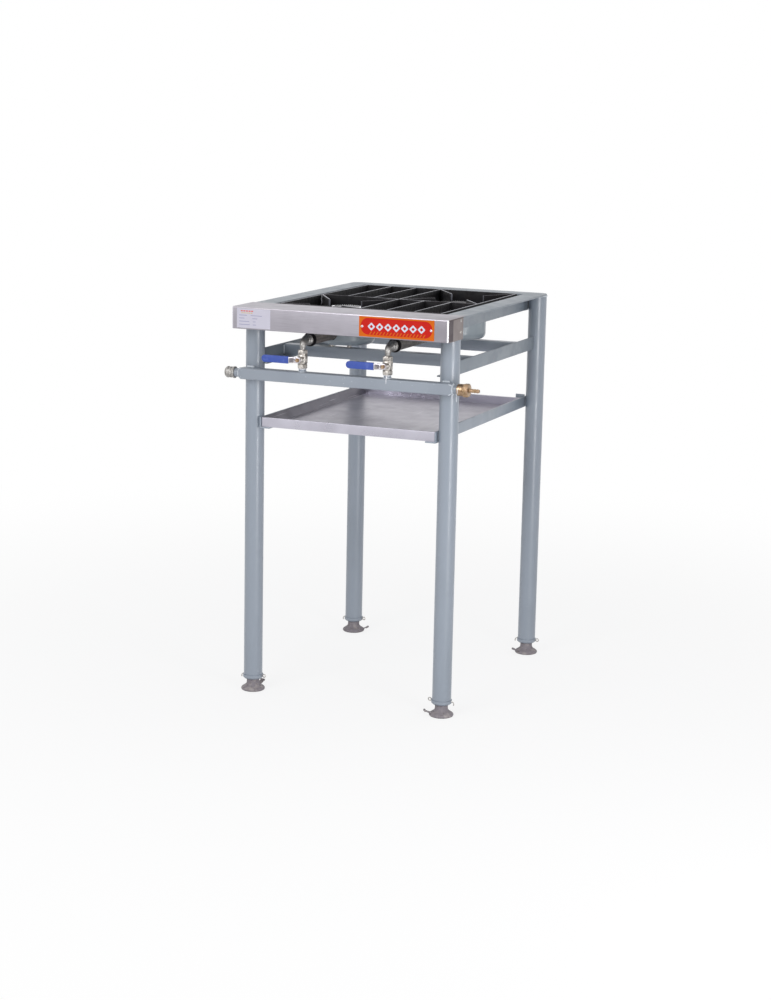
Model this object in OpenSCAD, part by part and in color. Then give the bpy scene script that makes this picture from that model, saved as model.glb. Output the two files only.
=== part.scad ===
// Two-burner gas boiling stand. Millimetres, +Z up, cook's side at -Y.
// The origin is on the floor, in the middle of the stand's overall plan.

/* [Stand] */
// Width over the outside of the legs
stand_w = 502; // [470:1:560]
// Depth over the outside of the legs
stand_d = 618; // [590:1:680]
// Height of the painted top frame above the floor
frame_h = 879; // [800:1:950]
// Outer diameter of a leg tube
leg_d = 42; // [38:1:44]
// Wall thickness of a leg tube
leg_wall = 2; // [1.5:0.1:3]

/* [Top frame] */
// Width of the front and rear top rails' flat upper flange
rail_flange = 51; // [46:1:56]
// Width of the side rails' flat upper flange
side_flange = 47; // [44:1:56]
// Depth of the top rails' upright web
rail_web = 39; // [34:1:48]
// Thickness of the top rails
rail_t = 4; // [3:0.5:5]
// Length of each lug that the grate rests on
lug_len = 30; // [20:1:40]
// Reach of each lug into the opening
lug_reach = 18; // [14:1:22]
// Thickness of each lug
lug_t = 4; // [3:0.5:5]

/* [Lower rails] */
// Drop from the top frame's upper face to the mid rails' upper edge
mid_rail_drop = 100; // [90:1:110]
// Leg length of the mid rails' angle section
mid_rail_size = 30; // [28:1:34]
// Leg length of the cross rails' angle section
cross_rail_size = 25; // [24:1:28]
// Thickness of the lower rails and runners
angle_t = 3; // [2:0.5:4]

/* [Drip tray] */
// Height of the tray's underside above the floor
tray_z = 611; // [560:1:630]
// Leg length of the runners' angle section
runner_size = 25; // [23:1:30]
// Height of the tray's walls
tray_h = 21; // [16:1:22]
// How far each side wall leans out over its height
tray_lean = 9; // [6:0.5:11]
// Sheet thickness of the tray
tray_t = 1; // [0.8:0.1:1.5]
// Depth of the hem along the tray's front and back edges
tray_hem = 4; // [3:0.5:6]
// Gap between the tray and each runner
tray_clear = 1.5; // [1:0.5:3]
// How far the tray's front stands behind the legs' front faces
tray_setback = 4; // [0:1:10]
// Height of each tray stop above the tray's underside
stop_h = 26; // [23:1:30]
// Distance from the runners' rear ends forward to the tray stops
stop_inset = 26; // [20:1:35]
// Play between the tray's back and its stops
tray_play = 23; // [5:1:40]

/* [Feet] */
// Outer diameter of a suction cup
foot_d = 54; // [48:1:60]
// Height of a foot from the floor to the leg's end ring
foot_h = 28; // [26:1:34]
// Diameter of a foot's neck
foot_neck_d = 29; // [26:1:32]
// Reach of a foot's pull tab from the foot's centre
foot_tab_reach = 37; // [32:1:40]
// Width of a foot's pull tab
foot_tab_w = 10; // [8:1:12]
// Diameter of the plug that holds a foot in its leg
foot_plug_d = 14; // [12:1:18]
// Outer diameter of a leg's end ring
ring_d = 46; // [44.5:0.5:48]
// Thickness of the end ring's floor
ring_floor = 3; // [2:0.5:4]
// Height of the end ring
ring_h = 9; // [8:0.5:11]
// Wire diameter of a split pin
pin_d = 2.5; // [2:0.25:3]

/* [Fascia] */
// How far the fascia stands in front of the legs
fascia_reach = 53; // [50:1:58]
// Height of the fascia's front face
fascia_h = 48; // [44:1:54]
// Depth of the fascia's side returns
fascia_return = 88; // [82:1:95]
// Depth of the lip folded under the front face
fascia_lip = 14; // [8:1:16]
// Width of the tabs folded round the front corners
fascia_tab = 25; // [8:1:30]
// Sheet thickness of the fascia
fascia_t = 1; // [0.8:0.1:1.5]
// Diameter of a rivet head
rivet_head_d = 7; // [5:0.5:8]
// Length of the riveted plate
plate_w = 171; // [140:1:200]
// Height of the riveted plate
plate_h = 43; // [36:1:43]
// Distance from the fascia's middle to the riveted plate's middle
plate_x = 135; // [120:1:150]
// Width of the white label
label_w = 80; // [60:1:90]
// Height of the white label
label_h = 42; // [34:1:43]
// Distance from the fascia's left end to the label
label_inset = 12; // [8:1:20]

/* [Gas line] */
// Outer width of the square manifold tube
manifold_size = 25; // [22:1:30]
// Wall thickness of the manifold tube
manifold_wall = 2; // [1.5:0.5:3]
// How far the taper at each end of the manifold reaches in
manifold_taper = 7; // [5:1:10]
// Outer diameter of the pipe necks at the manifold's ends
neck_d = 19; // [17:1:20]
// Length of bare neck between the manifold and its end fittings
neck_gap = 11; // [6:1:14]
// Length of neck screwed into each end fitting
neck_grip = 8; // [6:1:10]
// Outer diameter of the nipple under each valve
nipple_d = 16; // [14:0.5:17]
// Height of bare nipple between the manifold and a valve
nipple_h = 8; // [6:0.5:12]
// Diameter of the gas way through nipples and valves
gas_way_d = 9; // [7:0.5:9.5]
// Diameter of the end cap
cap_d = 26; // [24:0.5:30]
// Length of the end cap
cap_len = 24; // [20:1:30]
// Diameter of the inlet bush's round body
bush_d = 26; // [24:0.5:30]
// Length of the inlet bush's round body
bush_len = 13; // [11:1:18]
// Width across the flats of the inlet bush's hexagon
bush_hex = 27; // [25:0.5:30]
// Length of the inlet bush's hexagon
bush_hex_len = 12; // [10:1:16]
// Length of the hose barb
barb_len = 23; // [20:1:30]
// Diameter over the barb's crests
barb_d = 9; // [8.5:0.25:10.5]
// Diameter of the hole through the barb
barb_bore = 4; // [3:0.25:4.5]

/* [Valves] */
// Diameter of a valve's round barrel
barrel_d = 22; // [21:0.5:25]
// Length of a valve's barrel
barrel_len = 21; // [20:0.5:24]
// Width across the flats of a valve's end hexagons
valve_hex = 20; // [19:0.5:24]
// Height of each end hexagon
valve_hex_h = 9.5; // [9:0.5:14]
// Diameter of the ball
ball_d = 16; // [15:0.5:17]
// Diameter of the boss round the stem
boss_d = 13; // [12:0.5:15]
// Reach of the stem boss in front of the valve's axis
boss_reach = 20; // [18:0.5:22]
// Diameter of the stem
stem_d = 7; // [6:0.25:8]
// Radial running clearance of the stem in its boss
stem_clear = 0.05; // [0.03:0.01:0.1]
// Length of a lever from the stem to its tip
lever_len = 84; // [80:1:100]
// Width of a lever's steel strap
lever_w = 13; // [11:0.5:14]
// Thickness of a lever's steel strap
lever_t = 2.5; // [2:0.25:3]
// How far a lever steps forward between stem and grip
lever_step = 5; // [3:0.5:7]
// Gap between a lever and the stem boss
lever_gap = 3; // [2:0.5:5]
// Length of the vinyl sleeve
sleeve_len = 64; // [50:1:66]
// Wall thickness of the vinyl sleeve
sleeve_wall = 1.4; // [1:0.1:2]
// Width across the flats of the lever's nut
nut_hex = 8; // [7:0.5:10]

/* [Burners] */
// Distance from the middle of the stand to each burner's centre
burner_x = 92; // [88:1:98]
// Distance from the middle of the stand forward to the front burner
front_burner_y = 104; // [98:1:112]
// Distance from the middle of the stand back to the rear burner
rear_burner_y = 121; // [112:1:126]
// How far each gas line lies outboard of its burner's centre
line_offset = 8; // [0:1:10]
// Distance from the front burner's centre forward to its rail
front_rail_offset = 33; // [28:1:36]
// Distance from the rear burner's centre back to its rail
rear_rail_offset = 35; // [30:1:36]
// Outer diameter of a burner bowl
bowl_d = 130; // [127:1:138]
// Height of a burner bowl
bowl_h = 57; // [50:1:60]
// Sheet thickness of a burner bowl
bowl_t = 2; // [1.5:0.25:2.5]
// Outer radius of a bowl's rounded bottom edge
bowl_round = 14; // [10:1:17]
// Height of the spacers between bowl and rail
spacer_h = 6; // [5:0.5:9]
// Distance between a burner's two bolts
bolt_gap = 44; // [42:1:46]
// Thread diameter of the burner bolts
bolt_d = 5; // [4:0.5:5.5]
// Diameter of a burner head's body
head_d = 46; // [44:1:48]
// Diameter of a burner head's upper flange and its cap
cap_ring_d = 68; // [62:1:74]
// Height of a burner cap above its head
flame_cap_h = 13; // [10:0.5:15]
// Number of teeth round a burner cap
cap_teeth = 32; // [24:1:40]
// Distance from the top frame down to a burner cap's crown
cap_drop = 13; // [12:1:20]
// Outer diameter of a venturi pipe
venturi_d = 26; // [24:0.5:28]
// Wall thickness of a venturi pipe
venturi_wall = 1.5; // [1:0.25:2]
// Height of each gas line's axis above the underside of its burner bowl
line_height = 26.5; // [25:0.5:30]
// Height of each gas line's axis above its valve's middle
line_rise = 39; // [37:0.5:42]
// Outer diameter of the elbow's collar
collar_d = 23.5; // [22:0.5:27]
// Length of the elbow's outlet measured from the valve's axis
elbow_reach = 30; // [28:1:40]
// Diameter of the air shutter
shutter_d = 31; // [30:0.5:34]
// Thickness of the air shutter
shutter_t = 2; // [1.5:0.25:3]
// Diameter of the jet's stem
jet_d = 12; // [10:0.5:13]

/* [Grate] */
// Depth of the grate's flat bars
bar_h = 30; // [24:1:32]
// Thickness of the grate's flat bars
bar_t = 4; // [3:0.5:5]
// How far the grate's top stands above the top frame
grate_proud = 1; // [1:0.5:5]
// Gap between the grate's rim and the top frame
grate_clear = 12; // [8:0.5:13]
// Distance from the middle of the stand forward to the cross bar
cross_bar_y = 20; // [10:1:30]
// Number of plain bars over each quarter without a burner
infill_count = 2; // [1:1:3]
// Distance from the middle of the stand left to the front pan's centre
front_pan_x = 93; // [90:1:98]
// Distance from the middle of the stand forward to the front pan's centre
front_pan_y = 164; // [154:1:170]
// Distance from the middle of the stand right to the rear pan's centre
rear_pan_x = 100; // [92:1:104]
// Distance from the middle of the stand back to the rear pan's centre
rear_pan_y = 105; // [100:1:115]
// Half the gap between the fingers' ends, left to right
finger_gap_x = 39; // [38:1:50]
// Half the gap between the fingers' ends, front to back
finger_gap_y = 54; // [44:1:60]

/* [Hidden] */
$fn = 48;

PAINT = "#8b97a0";
STAINLESS = "#b5b0b8";
GALVANISED = "#9d9b98";
NICKEL = "#c4bfb8";
BRASS = "#b98d4f";
RUBBER = "#8c8488";
CAST_IRON = "#2b2b2d";
VINYL = "#4560c4";
PTFE = "#f2f2ee";
LEFT = -1;
RIGHT = 1;
FRONT = -1;
REAR = 1;
CUT = 1; // how far a cutting shape runs past the face it opens

// Frame
leg_r = leg_d / 2;
leg_x = stand_w / 2 - leg_r;
leg_y = stand_d / 2 - leg_r;
leg_bottom = foot_h + ring_floor;
leg_top = frame_h - rail_t;
open_x = stand_w / 2 - side_flange; // half the width of the cooking opening
open_y = stand_d / 2 - rail_flange; // half its depth
grate_bottom = frame_h + grate_proud - bar_h;

// Lower rails
mid_top = frame_h - mid_rail_drop;
mid_bottom = mid_top - mid_rail_size;
cross_bottom = mid_bottom + angle_t;
cross_top = cross_bottom + cross_rail_size;
runner_bottom = tray_z - angle_t;
runner_face = leg_x - leg_r; // outer face of each runner, against the legs

// Feet
ring_bore = foot_plug_d / 2 + 0.2;
pin_r = pin_d / 2;
pin_hole_r = pin_r + 0.1;
pin_z = leg_bottom + (ring_h - ring_floor) / 2;
pin_eye_r = 3.2;
foot_tab_z = 4; // height of a pull tab's underside
foot_tab_t = 5;

// Fascia
fascia_y = stand_d / 2 + fascia_reach; // distance from the middle to the front face
fascia_top = frame_h + fascia_t;
fascia_x = stand_w / 2; // inner face of each side return
fascia_over = 1; // how far the top sheet reaches over the cooking opening
plate_t = 0.8;
label_t = 0.3;
rivet_head_h = 1.2;
rivet_r = rivet_head_d / 4;
rivet_pitch = fascia_h / 2;
rivet_drop = rivet_head_d + 1; // from the fascia's top to the upper side rivets

// Tray
tray_front = stand_d / 2 - tray_setback;
stop_y = stand_d / 2 - stop_inset;
tray_back = stop_y - tray_play;
tray_len = tray_front + tray_back;
tray_half_w = runner_face - angle_t - tray_clear;

// Gas line, measured from the middle of the stand to the left or right
line_y = stand_d / 2 + manifold_size / 2; // distance forward to the manifold's axis
gas_x = burner_x + line_offset;
bowl_bottom = cross_top + spacer_h;
line_z = bowl_bottom + line_height; // height of the elbows' outlets and the venturis
valve_z = line_z - line_rise;
valve_top = valve_z + barrel_len / 2 + valve_hex_h;
valve_bottom = valve_z - barrel_len / 2 - valve_hex_h;
manifold_z = valve_bottom - nipple_h - manifold_size / 2;
neck_r = neck_d / 2;
neck_hole_r = neck_r + 0.1;
manifold_end = stand_w / 2;
fitting_x = manifold_end + neck_gap; // where the end fittings begin
thread_grip = 6; // length of thread screwed into each end of a valve
gas_r = gas_way_d / 2;

// Valve insides
ball_r = ball_d / 2;
chamber_r = ball_r + 0.3;
seat_h = 2.5;
seat_r = ball_r - 1;
tang_w = stem_d * 0.4; // width of the flat on the stem that turns the ball
tang_depth = 2.5;
stem_seat = ball_r - tang_depth + 0.2; // distance from the axis to the tang's tip
lever_y = boss_reach + lever_gap; // distance from the valve's axis to the lever's back
nut_h = 4;
lever_hole = 5.2;

// Burners
elbow_r = 8.5;
elbow_neck_r = 5.5;
elbow_bend = 13;
elbow_bore = 4;
venturi_r = venturi_d / 2;
jet_r = jet_d / 2;
jet_y = line_y - elbow_reach; // distance forward to the elbow's outlet face
jet_hex_len = 6;
shutter_gap = 0.3;
shutter_y = jet_y - jet_hex_len - shutter_gap; // shutter's front face
mouth_y = shutter_y - shutter_t - shutter_gap; // venturi's front face
mouth_t = 2.5;
window_r = (jet_r + venturi_r - venturi_wall) / 2; // radius that the air windows are centred on
window_d = venturi_r - venturi_wall - jet_r - 0.6;
bowl_r = bowl_d / 2;
floor_top = bowl_bottom + bowl_t; // inside face of a bowl's floor
base_t = 3;
base_r = bowl_r - bowl_round - 0.5;
head_r = head_d / 2;
ring_r = cap_ring_d / 2;
cap_top = frame_h - cap_drop;
head_top = cap_top - flame_cap_h;
head_wall = 4;
flange_t = 5;
socket_r = venturi_r + 4;
socket_reach = head_r + 22; // distance from the burner's centre to the socket's mouth
socket_depth = 20;
bolt_r = bolt_d / 2;
bolt_head_h = 4;

// Grate, as distances from the middle of the stand
rim_x = open_x - grate_clear; // outer faces of the rim
rim_y = open_y - grate_clear;

// The middle of the overall plan, where the origin is
barb_tip = fitting_x + bush_len + bush_hex_len + barb_len;
cap_tip = fitting_x + cap_len;
front_tip = fascia_y + plate_t + rivet_head_h;
rear_tip = leg_y + foot_d / 2;
centre_x = (barb_tip - cap_tip) / 2;
centre_y = (rear_tip - front_tip) / 2;

module placed() translate([-centre_x, -centre_y, 0]) children();

module at_legs() {
    for (sx = [LEFT, RIGHT], sy = [FRONT, REAR])
        translate([sx * leg_x, sy * leg_y, 0]) children();
}

// A cylinder along X or Y, starting at the origin
module rod_x(len, r) rotate([0, 90, 0]) cylinder(h = len, r = r);
module rod_y(len, r) rotate([-90, 0, 0]) cylinder(h = len, r = r);
module hex_z(h, flats) cylinder(h = h, r = flats / 2 / cos(30), $fn = 6);

// ---- Legs and feet ----

module leg(sx, sy) placed() color(PAINT) translate([sx * leg_x, sy * leg_y, 0]) difference() {
    translate([0, 0, leg_bottom]) cylinder(h = leg_top - leg_bottom, r = leg_r);
    translate([0, 0, leg_bottom - CUT])
        cylinder(h = leg_top - leg_bottom + 2 * CUT, r = leg_r - leg_wall);
    translate([-leg_r - CUT, 0, pin_z]) rod_x(leg_d + 2 * CUT, pin_hole_r);
    if (sy == FRONT)
        for (k = [0, 1])
            translate([sx > 0 ? 0 : -leg_r - CUT, 0, rivet_z(k)]) rod_x(leg_r + CUT, rivet_r);
}
function rivet_z(k) = fascia_top - rivet_drop - rivet_pitch * k;

module leg_front_left() leg(LEFT, FRONT);
module leg_front_right() leg(RIGHT, FRONT);
module leg_rear_left() leg(LEFT, REAR);
module leg_rear_right() leg(RIGHT, REAR);

module leg_end_rings() placed() color(PAINT) at_legs() difference() {
    translate([0, 0, foot_h]) rotate_extrude() polygon([
        [ring_bore, 0], [ring_d / 2 - ring_floor, 0], [ring_d / 2, ring_floor],
        [ring_d / 2, ring_h], [leg_r, ring_h], [leg_r, ring_floor], [ring_bore, ring_floor]
    ]);
    translate([-ring_d / 2 - CUT, 0, pin_z]) rod_x(ring_d + 2 * CUT, pin_hole_r);
}

module foot_profile() {
    flare = foot_d / 2 - foot_neck_d / 2; // radius of the hollow curve under the neck
    lip = 4;
    square([foot_neck_d / 2, foot_h]);
    difference() {
        square([foot_d / 2, lip + flare]);
        translate([foot_d / 2, lip + flare]) circle(r = flare);
    }
    translate([0, foot_h]) square([foot_plug_d / 2, 14]);
}

module suction_feet() placed() color(RUBBER) for (sx = [LEFT, RIGHT], sy = [FRONT, REAR])
    translate([sx * leg_x, sy * leg_y, 0]) difference() {
        tab_end = foot_tab_reach - foot_tab_w / 2;
        union() {
            rotate_extrude() foot_profile();
            rotate([0, 0, foot_turn(sx, sy)]) translate([0, 0, foot_tab_z]) {
                translate([0, -foot_tab_w / 2, 0]) cube([tab_end, foot_tab_w, foot_tab_t]);
                translate([tab_end, 0, 0]) cylinder(h = foot_tab_t, d = foot_tab_w);
            }
        }
        translate([0, 0, -CUT]) cylinder(h = CUT + 5, r1 = foot_d / 2 - 5, r2 = foot_plug_d / 2);
        translate([-foot_d / 2, 0, pin_z]) rod_x(foot_d, pin_hole_r);
    }

// Each foot is turned so that its pull tab points under the stand
function foot_turn(sx, sy) = sx > 0 ? (sy > 0 ? -125 : -145) : (sy > 0 ? 0 : 80);

module split_pin() {
    tail = 4;
    half = ring_d / 2 + 1.5;
    translate([-half, 0, 0]) rod_x(2 * half, pin_r);
    translate([half + pin_eye_r, 0, 0]) rotate([90, 0, 0]) rotate_extrude()
        translate([pin_eye_r, 0]) circle(r = pin_r * 0.7);
    translate([-half, 0, 0]) rotate([0, -150, 0]) cylinder(h = tail, r = pin_r * 0.9);
    translate([-half, 0, 0]) sphere(r = pin_r);
}

module foot_split_pins() placed() color(GALVANISED)
    for (sx = [LEFT, RIGHT], sy = [FRONT, REAR])
        translate([sx * leg_x, sy * leg_y, pin_z])
            rotate([0, 0, sx > 0 && sy < 0 ? 180 : 0]) split_pin();

// ---- Top frame ----

module frame_outline() {
    square([stand_w - leg_d, stand_d], center = true);
    square([stand_w, stand_d - leg_d], center = true);
    for (sx = [LEFT, RIGHT], sy = [FRONT, REAR])
        translate([sx * leg_x, sy * leg_y]) circle(r = leg_r);
}

// The slice of the plan that a mitred rail takes: its outer edge to the opening
module mitre_long(sx) polygon([
    [sx * stand_w / 2, -stand_d / 2], [sx * open_x, -open_y],
    [sx * open_x, open_y], [sx * stand_w / 2, stand_d / 2]
]);
module mitre_short(sy) polygon([
    [-stand_w / 2, sy * stand_d / 2], [-open_x, sy * open_y],
    [open_x, sy * open_y], [stand_w / 2, sy * stand_d / 2]
]);

module mitred_flange() translate([0, 0, frame_h - rail_t]) linear_extrude(rail_t) intersection() {
    frame_outline();
    children();
}

// The end rails' webs stand between the side rails', which run on beside the legs
module end_rail(sy) placed() color(PAINT) {
    mitred_flange() mitre_short(sy);
    translate([-open_x, sy > 0 ? open_y : -open_y - rail_t, frame_h - rail_web])
        cube([2 * open_x, rail_t, rail_web - rail_t]);
}
module top_rail_front() end_rail(FRONT);
module top_rail_rear() end_rail(REAR);

module side_rail(sx) placed() color(PAINT) {
    mitred_flange() mitre_long(sx);
    translate([sx > 0 ? open_x : -open_x - rail_t, -leg_y, frame_h - rail_web])
        cube([rail_t, 2 * leg_y, rail_web - rail_t]);
}
module top_rail_left() side_rail(LEFT);
module top_rail_right() side_rail(RIGHT);

module grate_lugs() placed() color(PAINT) translate([0, 0, grate_bottom - lug_t]) {
    for (sx = [LEFT, RIGHT], sy = [FRONT, REAR])
        translate([sx > 0 ? open_x - lug_reach : -open_x, sy * open_y * 0.66 - lug_len / 2, 0])
            cube([lug_reach, lug_len, lug_t]);
    for (sy = [FRONT, REAR])
        translate([-lug_len / 2, sy > 0 ? open_y - lug_reach : -open_y, 0])
            cube([lug_len, lug_reach, lug_t]);
}

// ---- Lower rails and drip tray ----

// An angle along Y: upright flange with its outer face at x = 0, foot flange towards -X
module angle_y(len, size) {
    translate([-angle_t, 0, 0]) cube([angle_t, len, size]);
    translate([-size, 0, 0]) cube([size, len, angle_t]);
}

module mid_rail(sx) placed() color(PAINT) difference() {
    translate([sx * leg_x, -leg_y, mid_bottom]) mirror([sx > 0 ? 0 : 1, 0, 0])
        angle_y(2 * leg_y, mid_rail_size);
    at_legs() translate([0, 0, mid_bottom - CUT])
        cylinder(h = mid_rail_size + 2 * CUT, r = leg_r);
}
module mid_rail_left() mid_rail(LEFT);
module mid_rail_right() mid_rail(RIGHT);

// Middle of each cross rail and the bolts on it
function cross_y(sy) = sy > 0 ? rear_burner_y + rear_rail_offset
                              : -front_burner_y - front_rail_offset;
function burner_y(sy) = sy > 0 ? rear_burner_y : -front_burner_y;

module at_burner_bolts(sy) {
    for (k = [-1, 1])
        translate([sy * burner_x + k * bolt_gap / 2, cross_y(sy), 0]) children();
}

// An angle with an upright front flange and a flat top flange
module cross_rail(sy) placed() color(PAINT) difference() {
    translate([-leg_x + angle_t, cross_y(sy) - cross_rail_size / 2, cross_bottom]) {
        cube([2 * (leg_x - angle_t), angle_t, cross_rail_size]);
        translate([0, 0, cross_rail_size - angle_t])
            cube([2 * (leg_x - angle_t), cross_rail_size, angle_t]);
    }
    at_burner_bolts(sy) translate([0, 0, cross_bottom])
        cylinder(h = cross_rail_size + CUT, r = bolt_r + 0.1);
}
module cross_rail_front() cross_rail(FRONT);
module cross_rail_rear() cross_rail(REAR);

module tray_runner(sx) placed() color(PAINT)
    translate([sx * runner_face, -stand_d / 2, runner_bottom]) mirror([sx > 0 ? 0 : 1, 0, 0])
        angle_y(stand_d, runner_size);
module tray_runner_left() tray_runner(LEFT);
module tray_runner_right() tray_runner(RIGHT);

module tray_stops() placed() color(PAINT)
    for (sx = [LEFT, RIGHT])
        translate([sx > 0 ? runner_face - runner_size : angle_t - runner_face, stop_y, tray_z])
            cube([runner_size - angle_t, angle_t, stop_h]);

module tray_section() {
    foot = tray_half_w - tray_lean;
    polygon([
        [-tray_half_w, tray_h], [-foot, 0], [foot, 0], [tray_half_w, tray_h],
        [tray_half_w - tray_t, tray_h], [foot - tray_t, tray_t],
        [tray_t - foot, tray_t], [tray_t - tray_half_w, tray_h]
    ]);
}

module tray_end_wall() {
    translate([-tray_half_w, 0, 0]) cube([2 * tray_half_w, tray_t, tray_h]);
    translate([-tray_half_w, 0, tray_h - tray_t]) cube([2 * tray_half_w, tray_hem, tray_t]);
}

module drip_tray() placed() color(STAINLESS) translate([0, 0, tray_z]) {
    translate([0, tray_back, 0]) rotate([90, 0, 0]) linear_extrude(tray_len) tray_section();
    translate([0, -tray_front, 0]) tray_end_wall();
    translate([0, tray_back, 0]) mirror([0, 1, 0]) tray_end_wall();
}

// ---- Fascia ----

module fascia_panel() placed() color(STAINLESS) difference() {
    union() {
        translate([-fascia_x - fascia_t, -fascia_y, frame_h])
            cube([2 * (fascia_x + fascia_t), fascia_y - open_y + fascia_over, fascia_t]);
        translate([-fascia_x - fascia_t, -fascia_y, fascia_top - fascia_h])
            cube([2 * (fascia_x + fascia_t), fascia_t, fascia_h]);
        translate([-fascia_x - fascia_t, -fascia_y, fascia_top - fascia_h])
            cube([2 * (fascia_x + fascia_t), fascia_lip, fascia_t]);
        for (sx = [LEFT, RIGHT]) mirror([sx > 0 ? 0 : 1, 0, 0]) {
            translate([fascia_x, -fascia_y, fascia_top - fascia_h])
                cube([fascia_t, fascia_return, fascia_h]);
            translate([fascia_x + fascia_t / 2, -fascia_y, fascia_top - fascia_h + 2])
                cube([fascia_t, fascia_tab, fascia_h - 4]);
        }
    }
    at_side_rivets() translate([-CUT, 0, 0]) rod_x(fascia_t + 2 * CUT, rivet_r);
    at_plate_rivets() rod_y(fascia_t + CUT, rivet_r);
}

// Local X points outward through the side return, starting at its inner face
module at_side_rivets() {
    for (sx = [LEFT, RIGHT], k = [0, 1]) mirror([sx > 0 ? 0 : 1, 0, 0])
        translate([fascia_x, -leg_y, rivet_z(k)]) children();
}
// Local Y points inward through the front, starting at its outer face
module at_plate_rivets() {
    for (k = [-1, 1])
        translate([plate_x + k * (plate_w / 2 - rivet_head_d), -fascia_y,
                   fascia_top - fascia_h / 2]) children();
}

module fascia_rivets() placed() color(STAINLESS) {
    at_side_rivets() {
        translate([fascia_t, 0, 0]) rod_x(rivet_head_h, rivet_head_d / 2);
        translate([-leg_wall, 0, 0]) rod_x(leg_wall + fascia_t, rivet_r);
    }
    at_plate_rivets() translate([0, -plate_t, 0]) {
        translate([0, -rivet_head_h, 0]) rod_y(rivet_head_h, rivet_head_d / 2);
        rod_y(plate_t + fascia_t, rivet_r);
    }
}

module name_plate() placed() color("#e8651e") difference() {
    translate([plate_x - plate_w / 2, -fascia_y - plate_t,
               fascia_top - fascia_h / 2 - plate_h / 2]) cube([plate_w, plate_t, plate_h]);
    at_plate_rivets() translate([0, -plate_t - CUT, 0]) rod_y(plate_t + 2 * CUT, rivet_r);
}

module data_label() placed() color("#f1f1f4")
    translate([label_inset - fascia_x, -fascia_y - label_t,
               fascia_top - fascia_h / 2 - label_h / 2]) cube([label_w, label_t, label_h]);

// ---- Gas manifold and its end fittings ----

module manifold_solid() intersection() {
    translate([-manifold_end, -manifold_size / 2, -manifold_size / 2])
        cube([2 * manifold_end, manifold_size, manifold_size]);
    union() {
        corner = manifold_size * 0.72;
        translate([manifold_taper - manifold_end, 0, 0])
            rod_x(2 * (manifold_end - manifold_taper), corner);
        for (sx = [LEFT, RIGHT]) mirror([sx > 0 ? 0 : 1, 0, 0])
            translate([manifold_end - manifold_taper, 0, 0]) rotate([0, 90, 0])
                cylinder(h = manifold_taper, r1 = corner, r2 = neck_r + 1.5);
    }
}

module gas_manifold() placed() color(PAINT) translate([0, -line_y, manifold_z]) difference() {
    inside = manifold_size - 2 * manifold_wall;
    manifold_solid();
    translate([manifold_taper - manifold_end, -inside / 2, -inside / 2])
        cube([2 * (manifold_end - manifold_taper), inside, inside]);
    translate([-manifold_end - CUT, 0, 0]) rod_x(2 * (manifold_end + CUT), neck_r);
    for (sx = [LEFT, RIGHT])
        translate([sx * gas_x, 0, 0]) cylinder(h = manifold_size, r = nipple_d / 2);
}

// Two pipe necks out of the manifold's ends and two nipples up to the valves
module valve_nipples() placed() color(PAINT) translate([0, -line_y, manifold_z]) {
    for (sx = [LEFT, RIGHT]) mirror([sx > 0 ? 0 : 1, 0, 0])
        translate([manifold_end - manifold_taper, 0, 0]) difference() {
            rod_x(manifold_taper + neck_gap + neck_grip, neck_r);
            translate([-CUT, 0, 0])
                rod_x(manifold_taper + neck_gap + neck_grip + 2 * CUT, neck_r - 2.5);
        }
    for (sx = [LEFT, RIGHT]) translate([sx * gas_x, 0, manifold_size / 2 - manifold_wall])
        difference() {
            union() {
                cylinder(h = manifold_wall + nipple_h, r = nipple_d / 2);
                cylinder(h = manifold_wall + nipple_h + thread_grip, r = nipple_d / 2 - 1);
            }
            translate([0, 0, -CUT])
                cylinder(h = manifold_wall + nipple_h + thread_grip + 2 * CUT, r = gas_r);
        }
}

module manifold_cap() placed() color(GALVANISED)
    translate([-fitting_x, -line_y, manifold_z]) mirror([1, 0, 0]) difference() {
        union() {
            rod_x(cap_len, cap_d / 2 - 1);
            rod_x(4, cap_d / 2);
            translate([cap_len - 4, 0, 0]) rod_x(4, cap_d / 2);
        }
        translate([-CUT, 0, 0]) rod_x(CUT + neck_grip, neck_hole_r);
    }

module inlet_bush() placed() color(BRASS) translate([fitting_x, -line_y, manifold_z])
    difference() {
        union() {
            rod_x(bush_len, bush_d / 2);
            translate([bush_len, 0, 0]) rotate([0, 90, 0]) rotate([0, 0, 30])
                hex_z(bush_hex_len, bush_hex);
        }
        translate([-CUT, 0, 0]) rod_x(CUT + neck_grip, neck_hole_r);
        rod_x(bush_len + bush_hex_len + CUT, barb_thread_r());
    }
function barb_thread_r() = barb_d / 2 + 1;

module hose_barb() placed() color(BRASS)
    translate([fitting_x + bush_len, -line_y, manifold_z]) rotate([0, 90, 0]) difference() {
        rings = 3;
        pitch = barb_len / 4;
        root = barb_d / 2 - 1;
        union() {
            cylinder(h = bush_hex_len, r = barb_thread_r());
            cylinder(h = bush_hex_len + barb_len, r = root);
            for (k = [0 : rings - 1])
                translate([0, 0, bush_hex_len + barb_len - (k + 1) * pitch])
                    cylinder(h = pitch * 0.9, r1 = barb_d / 2, r2 = root);
        }
        translate([0, 0, -CUT]) cylinder(h = bush_hex_len + barb_len + 2 * CUT, r = barb_bore / 2);
    }

// ---- Ball valves ----

module at_valve(sx) placed() translate([sx * gas_x, -line_y, valve_z]) children();

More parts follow.
